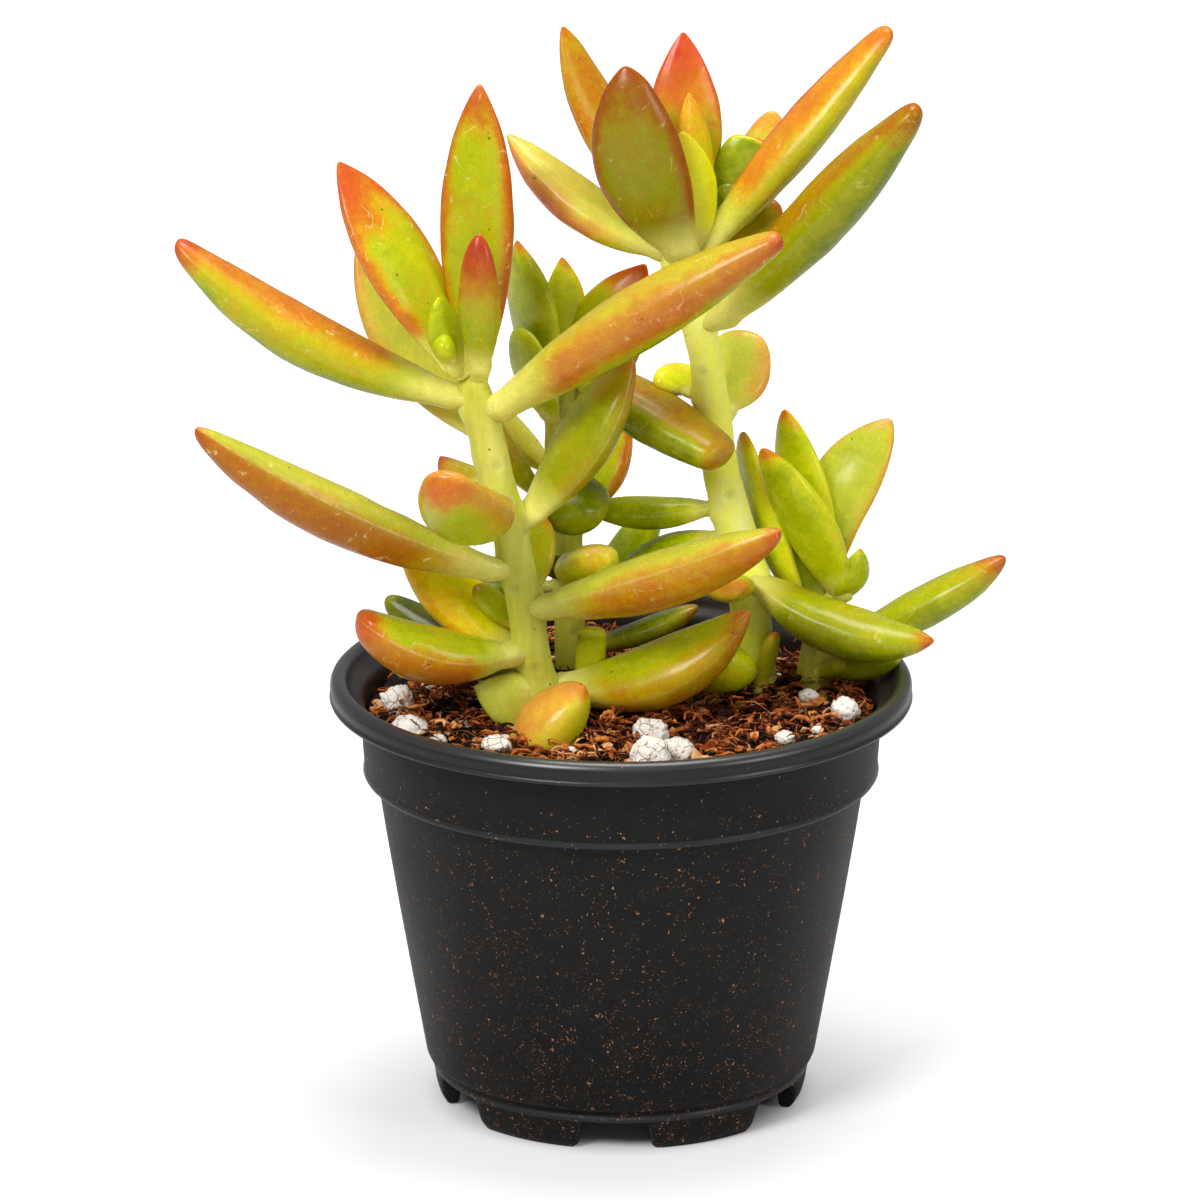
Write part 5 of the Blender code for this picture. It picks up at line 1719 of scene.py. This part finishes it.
def plastic_wear_and_sheen(tree, where, height):
    """The colour of clean plastic, how much the rim is rubbed and lit by a painted sheen, and where painted
    highlights run along its edges.
    """
    plastic = ladder(tree, clouds(tree, where, 240.0, detail=4.0), *PLASTIC_BLACKS)
    # Lighter rim: partly rubbed plastic, partly a painted sheen from the light above.
    rubbed_and_sheen = fade(tree, height, RIM_FOOT, RIM_FOOT + RIM_BLEND, 0.0, 0.8)
    plastic = blend(tree, rubbed_and_sheen, plastic, RUBBED_AND_SHEEN_GREY)
    # Painted highlights: thin lighter lines at the rim's top and at the sharp edges of the profile.
    painted_highlight_edges = fade(tree, height, *RIM_TOP)
    for middle in PAINTED_HIGHLIGHT_HEIGHTS:
        off_edge = sum_of(tree, "ABSOLUTE", sum_of(tree, "SUBTRACT", height, middle))
        painted_highlight_edges = sum_of(tree, "MAXIMUM", painted_highlight_edges, fade(tree, off_edge, *EDGE_REACH, 0.45, 0.0))
    return blend(tree, painted_highlight_edges, plastic, PAINTED_HIGHLIGHT_GREY), rubbed_and_sheen, painted_highlight_edges


def pot_finish():
    material, tree, shader, where = new_material("black_plastic_dusty")
    height = add(tree, "SeparateXYZ", [("Vector", where)]).outputs["Z"]
    plastic, rubbed_and_sheen, painted_highlight_edges = plastic_wear_and_sheen(tree, where, height)
    fine, coarse = pot_specks(tree, where, height)
    patches = clouds(tree, where, 60.0)
    dusty = times(tree, noted(tree, "inner"), fade(tree, patches, 0.40, 0.62, 0.10, 0.55))
    speck_tone = ladder(tree, clouds(tree, where, 700.0, detail=1.0), *SPECK_BROWNS)
    colour = blend(tree, dusty, plastic, DUST_GREY)
    colour = blend(tree, times(tree, fine, 0.85), colour, speck_tone)
    colour = blend(tree, times(tree, coarse, 0.95), colour, speck_tone)
    rough = times(tree, rubbed_and_sheen, -0.14, times(tree, patches, 0.20, 0.36))
    rough = times(tree, sum_of(tree, "MAXIMUM", fine, coarse), 0.3, rough)
    grainy = clouds(tree, where, 2200.0, detail=2.0)
    raised = sum_of(tree, "ADD", times(tree, coarse, 0.8), times(tree, grainy, 0.35))
    feed(tree, shader.inputs["Coat Weight"], sum_of(tree, "MAXIMUM", painted_highlight_edges, times(tree, rubbed_and_sheen, 0.3)))
    surface(tree, shader, colour, times(tree, dusty, 0.35, rough), raised, strength=0.35, depth=0.12 * MM,
            Coat_Roughness=0.32, Specular_IOR_Level=0.18)
    return material


black_plastic = pot_finish()
print("pot finish:", black_plastic.name)


# %% [markdown]
# The wall is one closed skin. It goes under the feet, up the outside, over the rim and down the inside, and
# its last ring joins the first one at the edge of the floor. An outer sheet alone would look the same from
# afar, but it would have no thickness at the rim and no inner wall.

# %% Turn the wall
def build_wall(spokes):
    """The pot's wall, with a note on each point that says whether it faces inward."""
    around = len(spokes)
    last = (len(WALL_PROFILE) - 1) * around
    faces = wall_faces(len(WALL_PROFILE), around)
    faces += [(last + spoke, last + (spoke + 1) % around, (spoke + 1) % around, spoke)
              for spoke in range(around)]
    inner = [float(ring >= len(OUTSIDE_PROFILE)) for ring in range(len(WALL_PROFILE)) for _ in spokes]
    return add_piece("nursery_pot", turned_points(WALL_PROFILE, spokes), faces, black_plastic,
                     {"inner": inner}, stands_for=("pot",))


pot = build_wall(spokes)
print("pot wall:", len(pot.data.polygons), "faces")


# %% [markdown]
# The pot's floor has six round drain holes. The lathe can't make them, so the floor is a plate of its own,
# let into the wall, with the holes cut by a boolean. It is the only place where one is used, because round
# holes in a flat plate come out clean.

# %% Cut the floor plate
PLATE_RADIUS = 26.0 * MM
PLATE_MIDDLE = 5.7 * MM
PLATE_THICK = 1.3 * MM
PLATE_SIDES = 96
DRAIN_HOLES = 6
DRAIN_CIRCLE = 18.0 * MM
DRAIN_RADIUS = 3.0 * MM
DRAIN_SIDES = 32


def drum(name, place, radius, height, segments):
    """A plain closed cylinder, used as the plate's blank and as a cutter."""
    mesh = bpy.data.meshes.new(name)
    build = bmesh.new()
    bmesh.ops.create_cone(build, cap_ends=True, segments=segments, radius1=radius, radius2=radius,
                          depth=height, matrix=Matrix.Translation(place))
    build.to_mesh(mesh)
    build.free()
    drum_object = bpy.data.objects.new(name, mesh)
    bpy.context.scene.collection.objects.link(drum_object)
    return drum_object


def drill(plate, place):
    """Cut one drain hole through the plate and take the drill away again."""
    cutter = drum("drain_cutter", place, DRAIN_RADIUS, 3 * PLATE_THICK, DRAIN_SIDES)
    cut = plate.modifiers.new("drain", "BOOLEAN")
    cut.object = cutter
    cut.solver = "EXACT"
    ready = plate.evaluated_get(bpy.context.evaluated_depsgraph_get())
    plate.data = bpy.data.meshes.new_from_object(ready)
    plate.modifiers.clear()
    bpy.data.objects.remove(cutter)


plate = drum("pot_floor", (POT_X, POT_Y, PLATE_MIDDLE), PLATE_RADIUS, PLATE_THICK, PLATE_SIDES)
for hole in range(DRAIN_HOLES):
    turn = 2 * math.pi * hole / DRAIN_HOLES
    x, y = DRAIN_CIRCLE * math.cos(turn), DRAIN_CIRCLE * math.sin(turn)
    drill(plate, (POT_X + x, POT_Y + y, PLATE_MIDDLE))
plate.data.materials.clear()
plate.data.materials.append(black_plastic)
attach(plate, "root")
print("floor plate:", len(plate.data.polygons), "faces")
